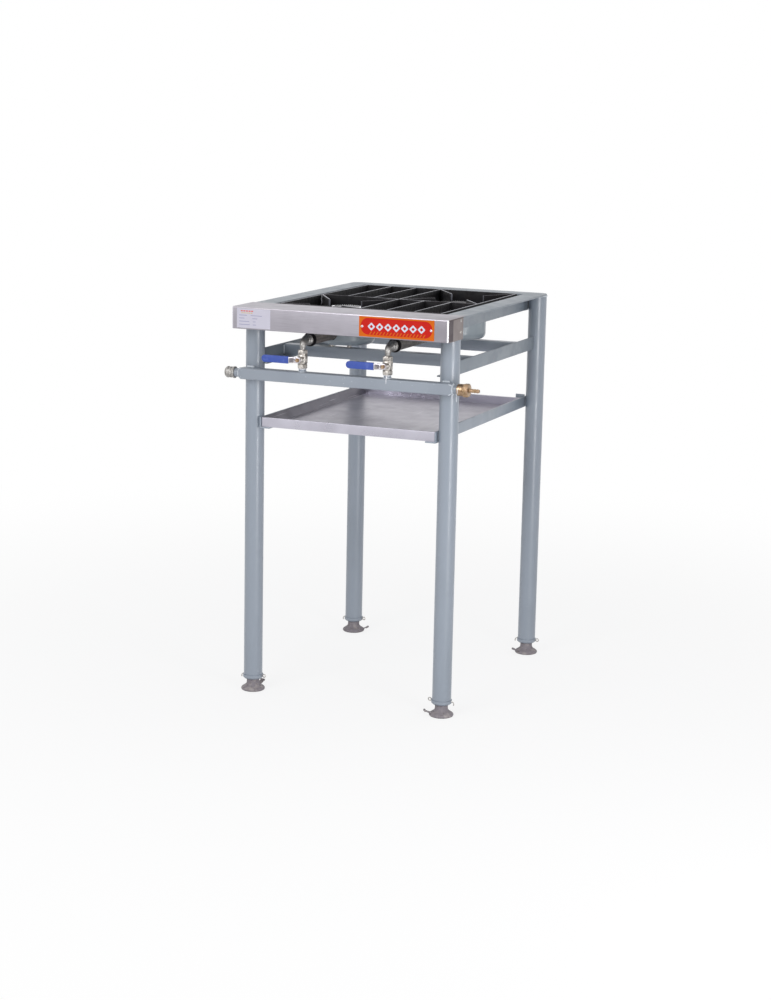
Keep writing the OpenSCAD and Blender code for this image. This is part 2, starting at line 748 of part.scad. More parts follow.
module valve_body(sx) color(NICKEL) at_valve(sx) difference() {
    union() {
        cylinder(h = barrel_len, r = barrel_d / 2, center = true);
        translate([0, 0, -barrel_len / 2 - valve_hex_h]) hex_z(valve_hex_h, valve_hex);
        translate([0, -boss_reach, 0]) rod_y(boss_reach, boss_d / 2);
    }
    translate([0, 0, -chamber_r]) cylinder(h = barrel_len, r = chamber_r);
    translate([0, 0, -barrel_len - valve_hex_h]) cylinder(h = barrel_len + valve_hex_h, r = gas_r);
    translate([0, 0, -barrel_len / 2 - valve_hex_h - CUT])
        cylinder(h = thread_grip + CUT, r = nipple_d / 2 - 1);
    translate([0, -boss_reach - CUT, 0]) rod_y(boss_reach + CUT, stem_d / 2 + stem_clear);
}
module left_valve_body() valve_body(LEFT);
module right_valve_body() valve_body(RIGHT);

module valve_end_pieces() color(NICKEL) for (sx = [LEFT, RIGHT]) at_valve(sx) difference() {
    union() {
        translate([0, 0, barrel_len / 2]) hex_z(valve_hex_h, valve_hex);
        translate([0, 0, chamber_r]) cylinder(h = barrel_len / 2 - chamber_r, r = chamber_r);
    }
    cylinder(h = barrel_len / 2 + valve_hex_h + CUT, r = gas_r);
    translate([0, 0, barrel_len / 2 + valve_hex_h - thread_grip])
        cylinder(h = thread_grip + CUT, r = elbow_neck_r);
}

// Four PTFE rings, one above and one below each ball
module valve_seats() color(PTFE) for (sx = [LEFT, RIGHT]) at_valve(sx)
    for (up = [0, 1]) mirror([0, 0, up]) difference() {
        translate([0, 0, -chamber_r]) cylinder(h = seat_h, r = seat_r);
        translate([0, 0, -chamber_r - CUT]) cylinder(h = seat_h + 2 * CUT, r = gas_r);
        sphere(r = ball_r + 0.02);
    }

// At rest the ball's way lies across the valve, so the gas is off
module valve_ball(sx) color(NICKEL) at_valve(sx) difference() {
    rotate([0, 90, 0]) rotate_extrude() difference() {
        circle(r = ball_r);
        translate([-ball_r, -ball_r]) square([ball_r + gas_r, ball_d]);
    }
    translate([-ball_r, -ball_r - CUT, -tang_w / 2 - 0.05])
        cube([ball_d, tang_depth + CUT, tang_w + 0.1]);
}
module left_valve_ball() valve_ball(LEFT);
module right_valve_ball() valve_ball(RIGHT);

module valve_stem(sx) color(BRASS) at_valve(sx) {
    shoulder = ball_r + 0.3;
    translate([0, -lever_y, 0]) rod_y(lever_y - shoulder, stem_d / 2);
    intersection() {
        translate([0, -shoulder, 0]) rod_y(shoulder - stem_seat, stem_d / 2);
        translate([-stem_d, -shoulder, -tang_w / 2]) cube([2 * stem_d, shoulder, tang_w]);
    }
    translate([0, -lever_y - lever_t - nut_h - 0.6, 0]) rod_y(lever_t + nut_h + 0.6, lever_hole / 2);
}
module left_valve_stem() valve_stem(LEFT);
module right_valve_stem() valve_stem(RIGHT);

// Seen from above: a strap that steps forward on its way out to the grip
module lever_side() {
    step_at = lever_w * 0.7;
    step_end = step_at + lever_step;
    polygon([
        [-lever_w / 2, 0], [step_at, 0], [step_end, lever_step], [lever_len - 1.5, lever_step],
        [lever_len - 1.5, lever_step + lever_t], [step_end - 1, lever_step + lever_t],
        [step_at - 1, lever_t], [-lever_w / 2, lever_t]
    ]);
}

// Outline of the strap seen from the front, with round ends
module lever_face(grow) {
    square_end = lever_len - 1.5 - lever_w / 2;
    circle(r = lever_w / 2 + grow);
    translate([0, -lever_w / 2 - grow]) square([square_end, lever_w + 2 * grow]);
    translate([square_end, 0]) circle(r = lever_w / 2 + grow);
}

module lever_shape() intersection() {
    translate([0, 0, -lever_w]) linear_extrude(2 * lever_w) lever_side();
    translate([0, lever_step + 2 * lever_t, 0]) rotate([90, 0, 0])
        linear_extrude(2 * lever_step + 4 * lever_t) lever_face(0);
}

// Local X runs out along the lever and local Y away from the valve
module at_lever(sx) at_valve(sx) translate([0, -lever_y, 0]) rotate([0, 0, 180]) children();

module valve_lever(sx) color(GALVANISED) at_lever(sx) difference() {
    lever_shape();
    translate([0, -CUT, 0]) rod_y(lever_t + 2 * CUT, lever_hole / 2 + 0.02);
}
module left_valve_lever() valve_lever(LEFT);
module right_valve_lever() valve_lever(RIGHT);

module lever_sleeve(sx) color(VINYL) at_lever(sx) difference() {
    translate([0, lever_step + lever_t + sleeve_wall, 0]) rotate([90, 0, 0])
        linear_extrude(lever_t + 2 * sleeve_wall) intersection() {
            lever_face(sleeve_wall);
            translate([lever_len - sleeve_len, -lever_w]) square([sleeve_len, 2 * lever_w]);
        }
    lever_shape();
}
module left_lever_sleeve() lever_sleeve(LEFT);
module right_lever_sleeve() lever_sleeve(RIGHT);

module lever_nut(sx) color(BRASS) at_lever(sx) translate([0, lever_t, 0]) difference() {
    rotate([-90, 0, 0]) hex_z(nut_h, nut_hex);
    translate([0, -CUT, 0]) rod_y(nut_h + 2 * CUT, lever_hole / 2 + 0.02);
}
module left_lever_nut() lever_nut(LEFT);
module right_lever_nut() lever_nut(RIGHT);

// ---- Elbows, jets, shutters and venturis ----

// Local origin on the gas line's axis above the valve, local Y towards the burner
module at_line(sx) placed() translate([sx * gas_x, -line_y, line_z]) children();

// A quarter bend up from the valve and round towards the burner
module elbow_run(r, end_r) {
    drop = line_z - valve_top;
    translate([0, 0, -drop - thread_grip]) cylinder(h = thread_grip, r = end_r);
    translate([0, 0, -drop]) cylinder(h = drop - elbow_bend, r1 = end_r, r2 = r);
    translate([0, elbow_bend, -elbow_bend]) rotate([90, 0, -90])
        rotate_extrude(angle = 90) translate([elbow_bend, 0]) circle(r = r);
    translate([0, elbow_bend, 0]) rod_y(elbow_reach - elbow_bend, r);
}

module elbow(sx) color(GALVANISED) at_line(sx) difference() {
    union() {
        elbow_run(elbow_r, elbow_neck_r);
        translate([0, elbow_bend + 4, 0]) rod_y(elbow_reach - elbow_bend - 4, collar_d / 2 - 1.5);
        translate([0, elbow_reach - 5, 0]) rod_y(5, collar_d / 2);
    }
    translate([0, elbow_reach - jet_hex_len, 0]) rod_y(jet_hex_len + CUT, jet_r);
    elbow_run(elbow_bore, elbow_bore);
}
module left_elbow() elbow(LEFT);
module right_elbow() elbow(RIGHT);

// A brass jet screwed into each elbow; its stem carries the shutter and the venturi's mouth
module gas_jets() color(BRASS) for (sx = [LEFT, RIGHT]) at_line(sx)
    translate([0, elbow_reach, 0]) difference() {
        union() {
            translate([0, -jet_hex_len, 0]) rod_y(jet_hex_len, jet_r);
            rotate([-90, 0, 0]) hex_z(jet_hex_len, jet_d + 3);
            rod_y(jet_hex_len + 2 * shutter_gap + shutter_t + mouth_t + 2, jet_r - 1);
        }
        translate([0, -jet_hex_len - CUT, 0]) rod_y(40, 1);
    }

module air_windows(r_window) {
    for (k = [0 : 3]) rotate([0, 45 + 90 * k, 0]) translate([window_r, -CUT, 0])
        rod_y(mouth_t + shutter_t + 2 * CUT, r_window);
}

module air_shutter(sx) color(CAST_IRON) at_line(sx) translate([0, line_y - shutter_y, 0])
    difference() {
        rod_y(shutter_t, shutter_d / 2);
        translate([0, -CUT, 0]) rod_y(shutter_t + 2 * CUT, jet_r - 1 + 0.05);
        air_windows(window_d / 2);
    }
module left_air_shutter() air_shutter(LEFT);
module right_air_shutter() air_shutter(RIGHT);

function venturi_end(sx) = burner_y(sx) - socket_reach + socket_depth;

// The left gas line feeds the front burner and the right one the rear burner
module venturi(sx) placed() color(PAINT) translate([sx * gas_x, -mouth_y, line_z]) difference() {
    len = mouth_y + venturi_end(sx);
    union() {
        rod_y(len, venturi_r);
        rod_y(mouth_t, shutter_d / 2);
    }
    translate([0, mouth_t, 0]) rod_y(len, venturi_r - venturi_wall);
    translate([0, -CUT, 0]) rod_y(mouth_t + 2 * CUT, jet_r - 1);
    air_windows(window_d / 2);
}
module left_venturi() venturi(LEFT);
module right_venturi() venturi(RIGHT);

// ---- Burners ----

module at_burner(sy) placed() translate([sy * burner_x, burner_y(sy), 0]) children();

module cup_outline(r, round, h) {
    square([r - round, h]);
    translate([0, round]) square([r, h - round]);
    translate([r - round, round]) circle(r = round);
}

module burner_bowl(sy) color(PAINT) difference() {
    at_burner(sy) translate([0, 0, bowl_bottom]) rotate_extrude() {
        difference() {
            cup_outline(bowl_r, bowl_round, bowl_h);
            translate([0, bowl_t])
                cup_outline(bowl_r - bowl_t, bowl_round - bowl_t, bowl_h);
        }
    }
    at_burner(sy) translate([sy * line_offset, -bowl_r - CUT, line_z])
        rod_y(bowl_r + CUT, venturi_r + 1);
    placed() at_burner_bolts(sy) translate([0, 0, bowl_bottom - CUT])
        cylinder(h = bowl_t + 2 * CUT, r = bolt_r + 0.1);
}
module front_burner_bowl() burner_bowl(FRONT);
module rear_burner_bowl() burner_bowl(REAR);

module burner_head(sy) color(CAST_IRON) difference() {
    at_burner(sy) {
        translate([0, 0, floor_top]) cylinder(h = base_t, r = base_r);
        translate([0, 0, floor_top]) cylinder(h = head_top - floor_top, r = head_r);
        translate([0, 0, head_top - flange_t]) cylinder(h = flange_t, r = ring_r - 1);
        translate([sy * line_offset, -socket_reach, line_z]) rod_y(socket_reach, socket_r);
    }
    at_burner(sy) {
        translate([0, 0, floor_top + base_t + 3])
            cylinder(h = head_top, r = head_r - head_wall);
        translate([sy * line_offset, -socket_reach - CUT, line_z])
            rod_y(socket_depth + CUT, venturi_r);
        translate([sy * line_offset, -socket_reach, line_z])
            rod_y(socket_reach, venturi_r - venturi_wall);
    }
    placed() at_burner_bolts(sy) translate([0, 0, floor_top - CUT])
        cylinder(h = base_t + 2 * CUT, r = bolt_r + 0.1);
}
module front_burner_head() burner_head(FRONT);
module rear_burner_head() burner_head(REAR);

// Toothed cap that lifts off its head; a spigot keeps it in the middle
module burner_cap(sy) color(GALVANISED) at_burner(sy) {
    spigot_h = 6;
    crown = flame_cap_h * 0.16;
    difference() {
        union() {
            translate([0, 0, head_top]) cylinder(h = flame_cap_h - crown, r = ring_r);
            translate([0, 0, cap_top - crown]) cylinder(h = crown, r1 = ring_r, r2 = ring_r * 0.55);
            translate([0, 0, head_top - spigot_h])
                cylinder(h = spigot_h, r = head_r - head_wall - 0.4);
        }
        translate([0, 0, head_top - spigot_h - CUT])
            cylinder(h = spigot_h + CUT + flame_cap_h * 0.4, r = head_r - head_wall - 3);
        for (k = [0 : cap_teeth - 1]) rotate([0, 0, 360 * k / cap_teeth])
            translate([head_r, -1.5, head_top - CUT])
                cube([ring_r, 3, CUT + flame_cap_h * 0.45]);
    }
}
module front_burner_cap() burner_cap(FRONT);
module rear_burner_cap() burner_cap(REAR);

// Four bolts, each with its spacer under the bowl and its nut under the rail
module burner_bolts() placed() color(GALVANISED) for (sy = [FRONT, REAR]) at_burner_bolts(sy) {
    nut_z = cross_top - angle_t - bolt_head_h;
    translate([0, 0, nut_z - 2]) cylinder(h = floor_top + base_t - nut_z + 2, r = bolt_r);
    translate([0, 0, nut_z]) hex_z(bolt_head_h, 1.6 * bolt_d);
    translate([0, 0, cross_top]) cylinder(h = spacer_h, r = bolt_d);
    translate([0, 0, floor_top + base_t]) hex_z(bolt_head_h, 1.6 * bolt_d);
}

// ---- Grate ----

module bar_x(y, x0, x1) translate([x0, y - bar_t / 2, grate_bottom]) cube([x1 - x0, bar_t, bar_h]);
module bar_y(x, y0, y1) translate([x - bar_t / 2, y0, grate_bottom]) cube([bar_t, y1 - y0, bar_h]);

module grate_bars() {
    for (sy = [FRONT, REAR]) bar_x(sy * (rim_y - bar_t / 2), -rim_x, rim_x);
    for (sx = [LEFT, RIGHT]) bar_y(sx * (rim_x - bar_t / 2), -rim_y, rim_y);
    bar_y(0, -rim_y, rim_y);
    bar_x(-cross_bar_y, -rim_x, rim_x);
}

module grate_frame() placed() color(CAST_IRON) grate_bars();

// Plain bars over the rear left and front right quarters
module grate_infill_bars() placed() color(CAST_IRON) for (k = [1 : infill_count]) {
    pitch = (rim_x - bar_t / 2) / (infill_count + 1);
    bar_y(-k * pitch, bar_t / 2 - cross_bar_y, rim_y - bar_t);
    bar_y(k * pitch, bar_t - rim_y, -cross_bar_y - bar_t / 2);
}

// A bar from a quarter's corner towards its pan's centre
module finger(corner, end) {
    run = end - corner;
    translate([corner.x, corner.y, grate_bottom]) rotate([0, 0, atan2(run.y, run.x)])
        translate([0, -bar_t / 2, 0]) cube([norm(run), bar_t, bar_h]);
}

module grate_fingers() placed() color(CAST_IRON)
    for (sy = [FRONT, REAR]) intersection() {
        near = sy * bar_t / 2; // inner face of the centre bar
        far = sy * (rim_x - bar_t);
        cross = sy * bar_t / 2 - cross_bar_y;
        rim = sy * (rim_y - bar_t);
        translate([min(near, far), min(cross, rim), grate_bottom - CUT])
            cube([abs(far - near), abs(rim - cross), bar_h + 2 * CUT]);
        pan = sy > 0 ? [rear_pan_x, rear_pan_y] : [-front_pan_x, -front_pan_y];
        for (inner = [0, 1], centre = [0, 1]) {
            x = centre ? 0 : sy * (rim_x - bar_t / 2);
            y = inner ? -cross_bar_y : sy * (rim_y - bar_t / 2);
            end = [pan.x + sign(x - pan.x) * finger_gap_x, pan.y + sign(y - pan.y) * finger_gap_y];
            finger([x, y], end);
        }
    }

leg_front_left();
leg_front_right();
leg_rear_left();
leg_rear_right();
leg_end_rings();
suction_feet();
foot_split_pins();
top_rail_front();
top_rail_rear();
top_rail_left();
top_rail_right();
grate_lugs();
mid_rail_left();
mid_rail_right();
cross_rail_front();
cross_rail_rear();
tray_runner_left();
tray_runner_right();
tray_stops();
drip_tray();
fascia_panel();
fascia_rivets();
name_plate();
data_label();
gas_manifold();
valve_nipples();
manifold_cap();
inlet_bush();
hose_barb();
left_valve_body();
right_valve_body();
valve_end_pieces();
valve_seats();
left_valve_ball();
right_valve_ball();
left_valve_stem();
right_valve_stem();
left_valve_lever();
right_valve_lever();
left_lever_sleeve();
right_lever_sleeve();
left_lever_nut();
right_lever_nut();
left_elbow();
right_elbow();
gas_jets();
left_air_shutter();
right_air_shutter();
left_venturi();
right_venturi();
front_burner_bowl();
rear_burner_bowl();
front_burner_head();
rear_burner_head();
front_burner_cap();
rear_burner_cap();
burner_bolts();
grate_frame();
grate_infill_bars();
grate_fingers();
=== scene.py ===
"""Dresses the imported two-burner gas boiling stand and sets it in a plain studio.

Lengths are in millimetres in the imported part's own frame, unless a name says otherwise. A
shape is made in millimetres and turned to metres when it is finished.
"""

import logging
import math
from abc import ABC, abstractmethod
from collections.abc import Callable, Sequence
from dataclasses import dataclass, field
from enum import Enum

import bmesh
import bpy
from mathutils import Matrix, Vector


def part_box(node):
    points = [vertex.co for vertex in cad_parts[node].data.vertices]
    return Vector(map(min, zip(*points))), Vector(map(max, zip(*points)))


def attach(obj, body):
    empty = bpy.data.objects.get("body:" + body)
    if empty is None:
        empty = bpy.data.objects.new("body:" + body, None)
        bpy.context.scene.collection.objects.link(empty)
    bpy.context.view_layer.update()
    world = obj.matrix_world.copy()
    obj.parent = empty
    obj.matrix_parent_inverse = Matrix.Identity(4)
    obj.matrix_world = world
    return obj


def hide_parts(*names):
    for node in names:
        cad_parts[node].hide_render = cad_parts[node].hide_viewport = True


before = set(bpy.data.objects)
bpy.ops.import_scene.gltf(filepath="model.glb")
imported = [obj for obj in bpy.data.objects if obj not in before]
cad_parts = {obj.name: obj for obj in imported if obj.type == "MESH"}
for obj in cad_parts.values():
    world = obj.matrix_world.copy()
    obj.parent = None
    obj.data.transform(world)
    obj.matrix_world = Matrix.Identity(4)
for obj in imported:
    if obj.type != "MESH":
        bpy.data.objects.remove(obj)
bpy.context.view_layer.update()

LOG = logging.getLogger("boiling_stand")
METRES_PER_MM = 0.001
WELDED_GAP = 0.002
RIPPLE_PITCH = 2.4
SHOWN_EDGE = 38.0
STAND = "stand"

Point = tuple[float, float]


# ---------------------------------------------------------------- directions and measures


class Axis(Enum):
    """The axis that a profile is drawn across."""

    X = 0
    Y = 1
    Z = 2

    def place(self, u: float, v: float, along: float) -> Vector:
        """Puts a profile's point in space.

        Args:
            u: The profile's first coordinate.
            v: The profile's second coordinate.
            along: Distance along this axis.

        Returns:
            The point, with u and v on the other two axes in order.
        """
        if self is Axis.X:
            return Vector((along, u, v))
        if self is Axis.Y:
            return Vector((u, along, v))
        return Vector((u, v, along))


class Side(Enum):
    """The cook's left or right, as the sign of X."""

    LEFT = -1
    RIGHT = 1


class Row(Enum):
    """The front or the rear of the stand, as the sign of Y."""

    FRONT = -1
    REAR = 1


@dataclass(frozen=True)
class Span:
    """The box that some nodes fill, in millimetres."""

    low: Vector
    high: Vector

    @classmethod
    def of(cls, *nodes: str) -> "Span":
        """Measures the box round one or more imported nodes.

        Args:
            nodes: The nodes' names.

        Returns:
            The box round them all.
        """
        boxes = [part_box(node) for node in nodes]
        low = Vector([min(box[0][i] for box in boxes) for i in range(3)])
        high = Vector([max(box[1][i] for box in boxes) for i in range(3)])
        return cls(low / METRES_PER_MM, high / METRES_PER_MM)

    @property
    def middle(self) -> Vector:
        """The middle of the box."""
        return (self.low + self.high) / 2

    @property
    def size(self) -> Vector:
        """The box's length along each axis."""
        return self.high - self.low


def linear(code: str) -> tuple[float, float, float, float]:
    """Turns an sRGB colour into the linear one that a shader takes.

    Args:
        code: The colour as #rrggbb.

    Returns:
        Red, green and blue as linear values, and an alpha of 1.
    """
    shares = [int(code[i : i + 2], 16) / 255 for i in (1, 3, 5)]
    red, green, blue = (s / 12.92 if s <= 0.04045 else ((s + 0.055) / 1.055) ** 2.4 for s in shares)
    return red, green, blue, 1.0


def per_metre(size_mm: float) -> float:
    """Turns the real size of a pattern's repeat into a texture's scale."""
    return 1.0 / (size_mm * METRES_PER_MM)


# ---------------------------------------------------------------- outlines


def rounded(points: Sequence[Point], radii: Sequence[float], steps: int = 4) -> list[Point]:
    """Rounds the corners of a closed outline.

    Args:
        points: The corners in order.
        radii: The radius of each corner; 0 leaves it sharp.
        steps: How many facets a round corner has.

    Returns:
        The outline's new points.
    """
    made: list[Point] = []
    for i, corner in enumerate(points):
        here = Vector(corner)
        back = Vector(points[i - 1]) - here
        ahead = Vector(points[(i + 1) % len(points)]) - here
        half = back.angle(ahead, math.pi) / 2
        reach = min(back.length, ahead.length) * 0.49
        if radii[i] <= 0 or half > math.radians(89):
            made.append(corner)
            continue
        cut = min(radii[i] / math.tan(half), reach)
        radius = cut * math.tan(half)
        toward = (back.normalized() + ahead.normalized()).normalized()
        centre = here + toward * (radius / math.sin(half))
        start = here + back.normalized() * cut - centre
        end = here + ahead.normalized() * cut - centre
        for k in range(steps + 1):
            spoke = start.lerp(end, k / steps).normalized() * radius
            made.append((centre.x + spoke.x, centre.y + spoke.y))
    return made


def folded(points: Sequence[Point], thickness: float, bend: float) -> list[Point]:
    """Draws the section of a sheet folded along a line, with round bends.

    Args:
        points: The sheet's outer face from one free edge to the other.
        thickness: The sheet's thickness, to the left of that line.
        bend: The inside radius of each bend.

    Returns:
        The section's closed outline.
    """
    line = [Vector(p) for p in points]
    inner: list[Vector] = []
    turns: list[float] = []
    for i, here in enumerate(line):
        before = (here - line[i - 1]).normalized() if i else (line[1] - here).normalized()
        after = (line[i + 1] - here).normalized() if i + 1 < len(line) else before
        left = Vector((-(before.y + after.y), before.x + after.x)).normalized()
        square = max(0.2, left.dot(Vector((-before.y, before.x))))
        inner.append(here + left * (thickness / square))
        turns.append(before.x * after.y - before.y * after.x)
    edge = thickness * 0.4
    last = len(line) - 1
    outer_radii = [edge if i in (0, last) else bend + (thickness if turns[i] > 0 else 0)
                   for i in range(last + 1)]
    inner_radii = [edge if i in (0, last) else bend + (0 if turns[i] > 0 else thickness)
                   for i in range(last + 1)]
    outline = [(p.x, p.y) for p in line] + [(p.x, p.y) for p in reversed(inner)]
    return rounded(outline, outer_radii + inner_radii[::-1])


def box_outline(width: float, height: float, radius: float, steps: int = 4) -> list[Point]:
    """Draws a rectangle about the origin with round corners.

    Args:
        width: Its width.
        height: Its height.
        radius: The radius of its corners.
        steps: How many facets a corner has.

    Returns:
        The rectangle's outline.
    """
    x, y = width / 2, height / 2
    corners = [(-x, -y), (x, -y), (x, y), (-x, y)]
    return rounded(corners, [radius] * 4, steps)


def shifted(outline: Sequence[Point], u: float, v: float) -> list[Point]:
    """Moves an outline."""
    return [(point[0] + u, point[1] + v) for point in outline]


def arc(centre: Vector, radius: float, start: float, end: float, axis: Axis = Axis.Z,
        steps: int = 12) -> list[Vector]:
    """Lays points along an arc.

    Args:
        centre: The arc's centre.
        radius: The arc's radius.
        start: Where it starts, in degrees.
        end: Where it ends, in degrees.
        axis: The axis that it turns about.
        steps: How many stretches it has.

    Returns:
        The points from start to end.
    """
    angles = [math.radians(start + (end - start) * k / steps) for k in range(steps + 1)]
    return [centre + axis.place(radius * math.cos(a), radius * math.sin(a), 0) for a in angles]


def hexagon_reach(angle: float, flats: float) -> float:
    """Gives how far a hexagon reaches in one direction; a flat faces an angle of 0."""
    sixth = math.pi / 3
    return flats / 2 / math.cos((angle + sixth / 2) % sixth - sixth / 2)


# ---------------------------------------------------------------- shapes


class Shape:
    """A piece while it is being made, in millimetres."""

    def __init__(self, name: str) -> None:
        """Starts an empty piece of that name."""
        self.name = name
        self.mesh = bmesh.new()

    def loft(self, rings: Sequence[Sequence[Vector]], slot: int = 0, loop: bool = False) -> None:
        """Joins rings of points into a closed skin.

        Args:
            rings: Rings of as many points each, from one end to the other.
            slot: The place of the skin's finish in the piece's list.
            loop: Whether the last ring meets the first, so that there are no ends.
        """
        rows = [[self.mesh.verts.new(point) for point in ring] for ring in rings]
        faces = []
        for lower, upper in zip(rows, rows[1:] + rows[:1] if loop else rows[1:]):
            for i in range(len(lower)):
                j = (i + 1) % len(lower)
                faces.append(self.mesh.faces.new((lower[i], lower[j], upper[j], upper[i])))
        if not loop:
            faces.append(self.mesh.faces.new(rows[0]))
            faces.append(self.mesh.faces.new(rows[-1]))
        for face in faces:
            face.material_index = slot
        bmesh.ops.remove_doubles(self.mesh, verts=[v for row in rows for v in row], dist=WELDED_GAP)

    def prism(self, outline: Sequence[Point], axis: Axis, start: float, end: float, slot: int = 0) -> None:
        """Draws an outline out along an axis.

        Args:
            outline: The closed outline.
            axis: The axis that it is drawn out along.
            start: Where it starts.
            end: Where it ends.
            slot: The place of its finish in the piece's list.
        """
        self.loft([[axis.place(u, v, along) for u, v in outline] for along in (start, end)], slot)

    def block(self, low: Sequence[float], high: Sequence[float], slot: int = 0) -> None:
        """Adds a plain block between two corners."""
        outline = [(low[0], low[1]), (high[0], low[1]), (high[0], high[1]), (low[0], high[1])]
        self.prism(outline, Axis.Z, low[2], high[2], slot)

    def turned(self, axis: Axis, centre: Vector, profile: Sequence[Point], steps: int = 48,
               flats: float = 0.0, turn: float = 0.0, loop: bool = False, slot: int = 0) -> None:
        """Turns a profile about an axis, and mills flats on it if they are given.

        Args:
            axis: The axis that it turns about.
            centre: The point that heights are measured from.
            profile: Points of radius and height.
            steps: How many facets go round.
            flats: Width across six flats; 0 leaves it round.
            turn: How far it is turned about its axis, in degrees.
            loop: Whether the profile is a closed ring clear of the axis.
            slot: The place of its finish in the piece's list.
        """
        rings = []
        for radius, height in profile:
            ring = []
            for k in range(steps):
                angle = 2 * math.pi * k / steps
                reach = min(radius, hexagon_reach(angle, flats)) if flats else radius
                angle += math.radians(turn)
                ring.append(centre + axis.place(reach * math.cos(angle), reach * math.sin(angle), height))
            rings.append(ring)
        self.loft(rings, slot, loop)

    def pipe(self, path: Sequence[Vector], radii: Sequence[float], sides: int = 16,
             slot: int = 0) -> None:
        """Sweeps a round section along a path.

        Args:
            path: The points that it follows.
            radii: Its radius at each point.
            sides: How many facets go round.
            slot: The place of its finish in the piece's list.
        """
        last = len(path) - 1
        normal = (path[1] - path[0]).orthogonal().normalized()
        rings = []
        for i, (point, radius) in enumerate(zip(path, radii)):
            tangent = (path[min(i + 1, last)] - path[max(i - 1, 0)]).normalized()
            normal = (normal - tangent * normal.dot(tangent)).normalized()
            across = tangent.cross(normal)
            angles = [2 * math.pi * k / sides for k in range(sides)]
            rings.append([point + (normal * math.cos(a) + across * math.sin(a)) * radius
                          for a in angles])
        self.loft(rings, slot)

    def bead(self, path: Sequence[Vector], width: float, slot: int = 0) -> None:
        """Lays a weld bead along a path, with the ripples of its pools.

        Args:
            path: The line that the weld follows.
            width: The bead's width.
            slot: The place of its finish in the piece's list.
        """
        points = [path[0]]
        for start, end in zip(path, path[1:]):
            count = max(1, round((end - start).length / (RIPPLE_PITCH / 4)))
            points += [start.lerp(end, k / count) for k in range(1, count + 1)]
        last = len(points) - 1
        radii = []
        for i in range(last + 1):
            ripple = 1 + 0.14 * math.cos(i * math.pi / 2)
            end_taper = min(1.0, 0.35 + min(i, last - i) * 0.3)
            radii.append(width / 2 * ripple * end_taper)
        self.pipe(points, radii, 8, slot)

    def soften(self, width: float, steps: int = 2, sharper_than: float = 40.0) -> None:
        """Breaks the sharp edges, or folds a sheet that has no thickness yet.

        Args:
            width: How far from an edge the break or fold starts.
            steps: How many facets it has.
            sharper_than: The least angle between faces that counts as sharp, in degrees.
        """
        limit = math.radians(sharper_than)
        edges = [edge for edge in self.mesh.edges if edge.is_manifold and edge.calc_face_angle() > limit]
        bmesh.ops.bevel(self.mesh, geom=edges, offset=width, segments=steps, profile=0.5, affect="EDGES",
                        clamp_overlap=True, material=-1)

    @classmethod
    def of_node(cls, node: str) -> "Shape":
        """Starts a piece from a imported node's own solid, with each flat face whole.

        Args:
            node: The node's name.

        Returns:
            The new piece, named after the node.
        """
        shape = cls(f"{node}_finished")
        mesh = shape.mesh
        mesh.from_mesh(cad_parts[node].data)
        bmesh.ops.scale(mesh, vec=[1 / METRES_PER_MM] * 3, verts=mesh.verts)
        bmesh.ops.remove_doubles(mesh, verts=mesh.verts, dist=WELDED_GAP)
        bmesh.ops.dissolve_limit(mesh, angle_limit=math.radians(0.4), verts=mesh.verts, edges=mesh.edges)
        for face in mesh.faces:
            face.material_index = 0
        return shape

    def facet(self, corners: Sequence[Sequence[float]], slot: int) -> None:
        """Adds one face of a sheet, with its corners counter-clockwise as seen from outside."""
        self.mesh.faces.new([self.mesh.verts.new(corner) for corner in corners]).material_index = slot

    def thicken(self, thickness: float, bend: float = 0.0) -> None:
        """Joins the facets into one sheet, inwards of its faces.

        Args:
            thickness: The sheet's thickness.
            bend: How far from a fold its bend starts; 0 where the facets draw the bends themselves.
        """
        bmesh.ops.remove_doubles(self.mesh, verts=self.mesh.verts, dist=WELDED_GAP)
        self.mesh.normal_update()
        if bend:
            self.soften(bend, 5, 10)
        bmesh.ops.solidify(self.mesh, geom=self.mesh.faces, thickness=thickness)

    def bar(self, path: Sequence[Vector], thickness: float, low: float, high: float, arris: float) -> None:
        """Runs an upright flat bar along a line in plan.

        Args:
            path: The bar's middle line; only x and y count.
            thickness: How thick it is.
            low: The height of its bottom.
            high: The height of its top.
            arris: How round its edges are.
        """
        outline = box_outline(thickness, high - low, arris, 2)
        last = len(path) - 1
        rings = []
        for i, point in enumerate(path):
            along = (path[min(i + 1, last)] - path[max(i - 1, 0)]).xy.normalized()
            across = Vector((-along.y, along.x, 0))
            base = Vector((point.x, point.y, (low + high) / 2))
            rings.append([base + across * u + Vector((0, 0, v)) for u, v in outline])
        self.loft(rings)

    def mark(self, slot: int, test: Callable[[bmesh.types.BMFace], bool]) -> None:
        """Gives the faces that pass a test a finish of their own.

        Args:
            slot: The place of that finish in the piece's list.
            test: Says whether a face gets it.
        """
        bmesh.ops.recalc_face_normals(self.mesh, faces=self.mesh.faces)
        for face in self.mesh.faces:
            if test(face):
                face.material_index = slot

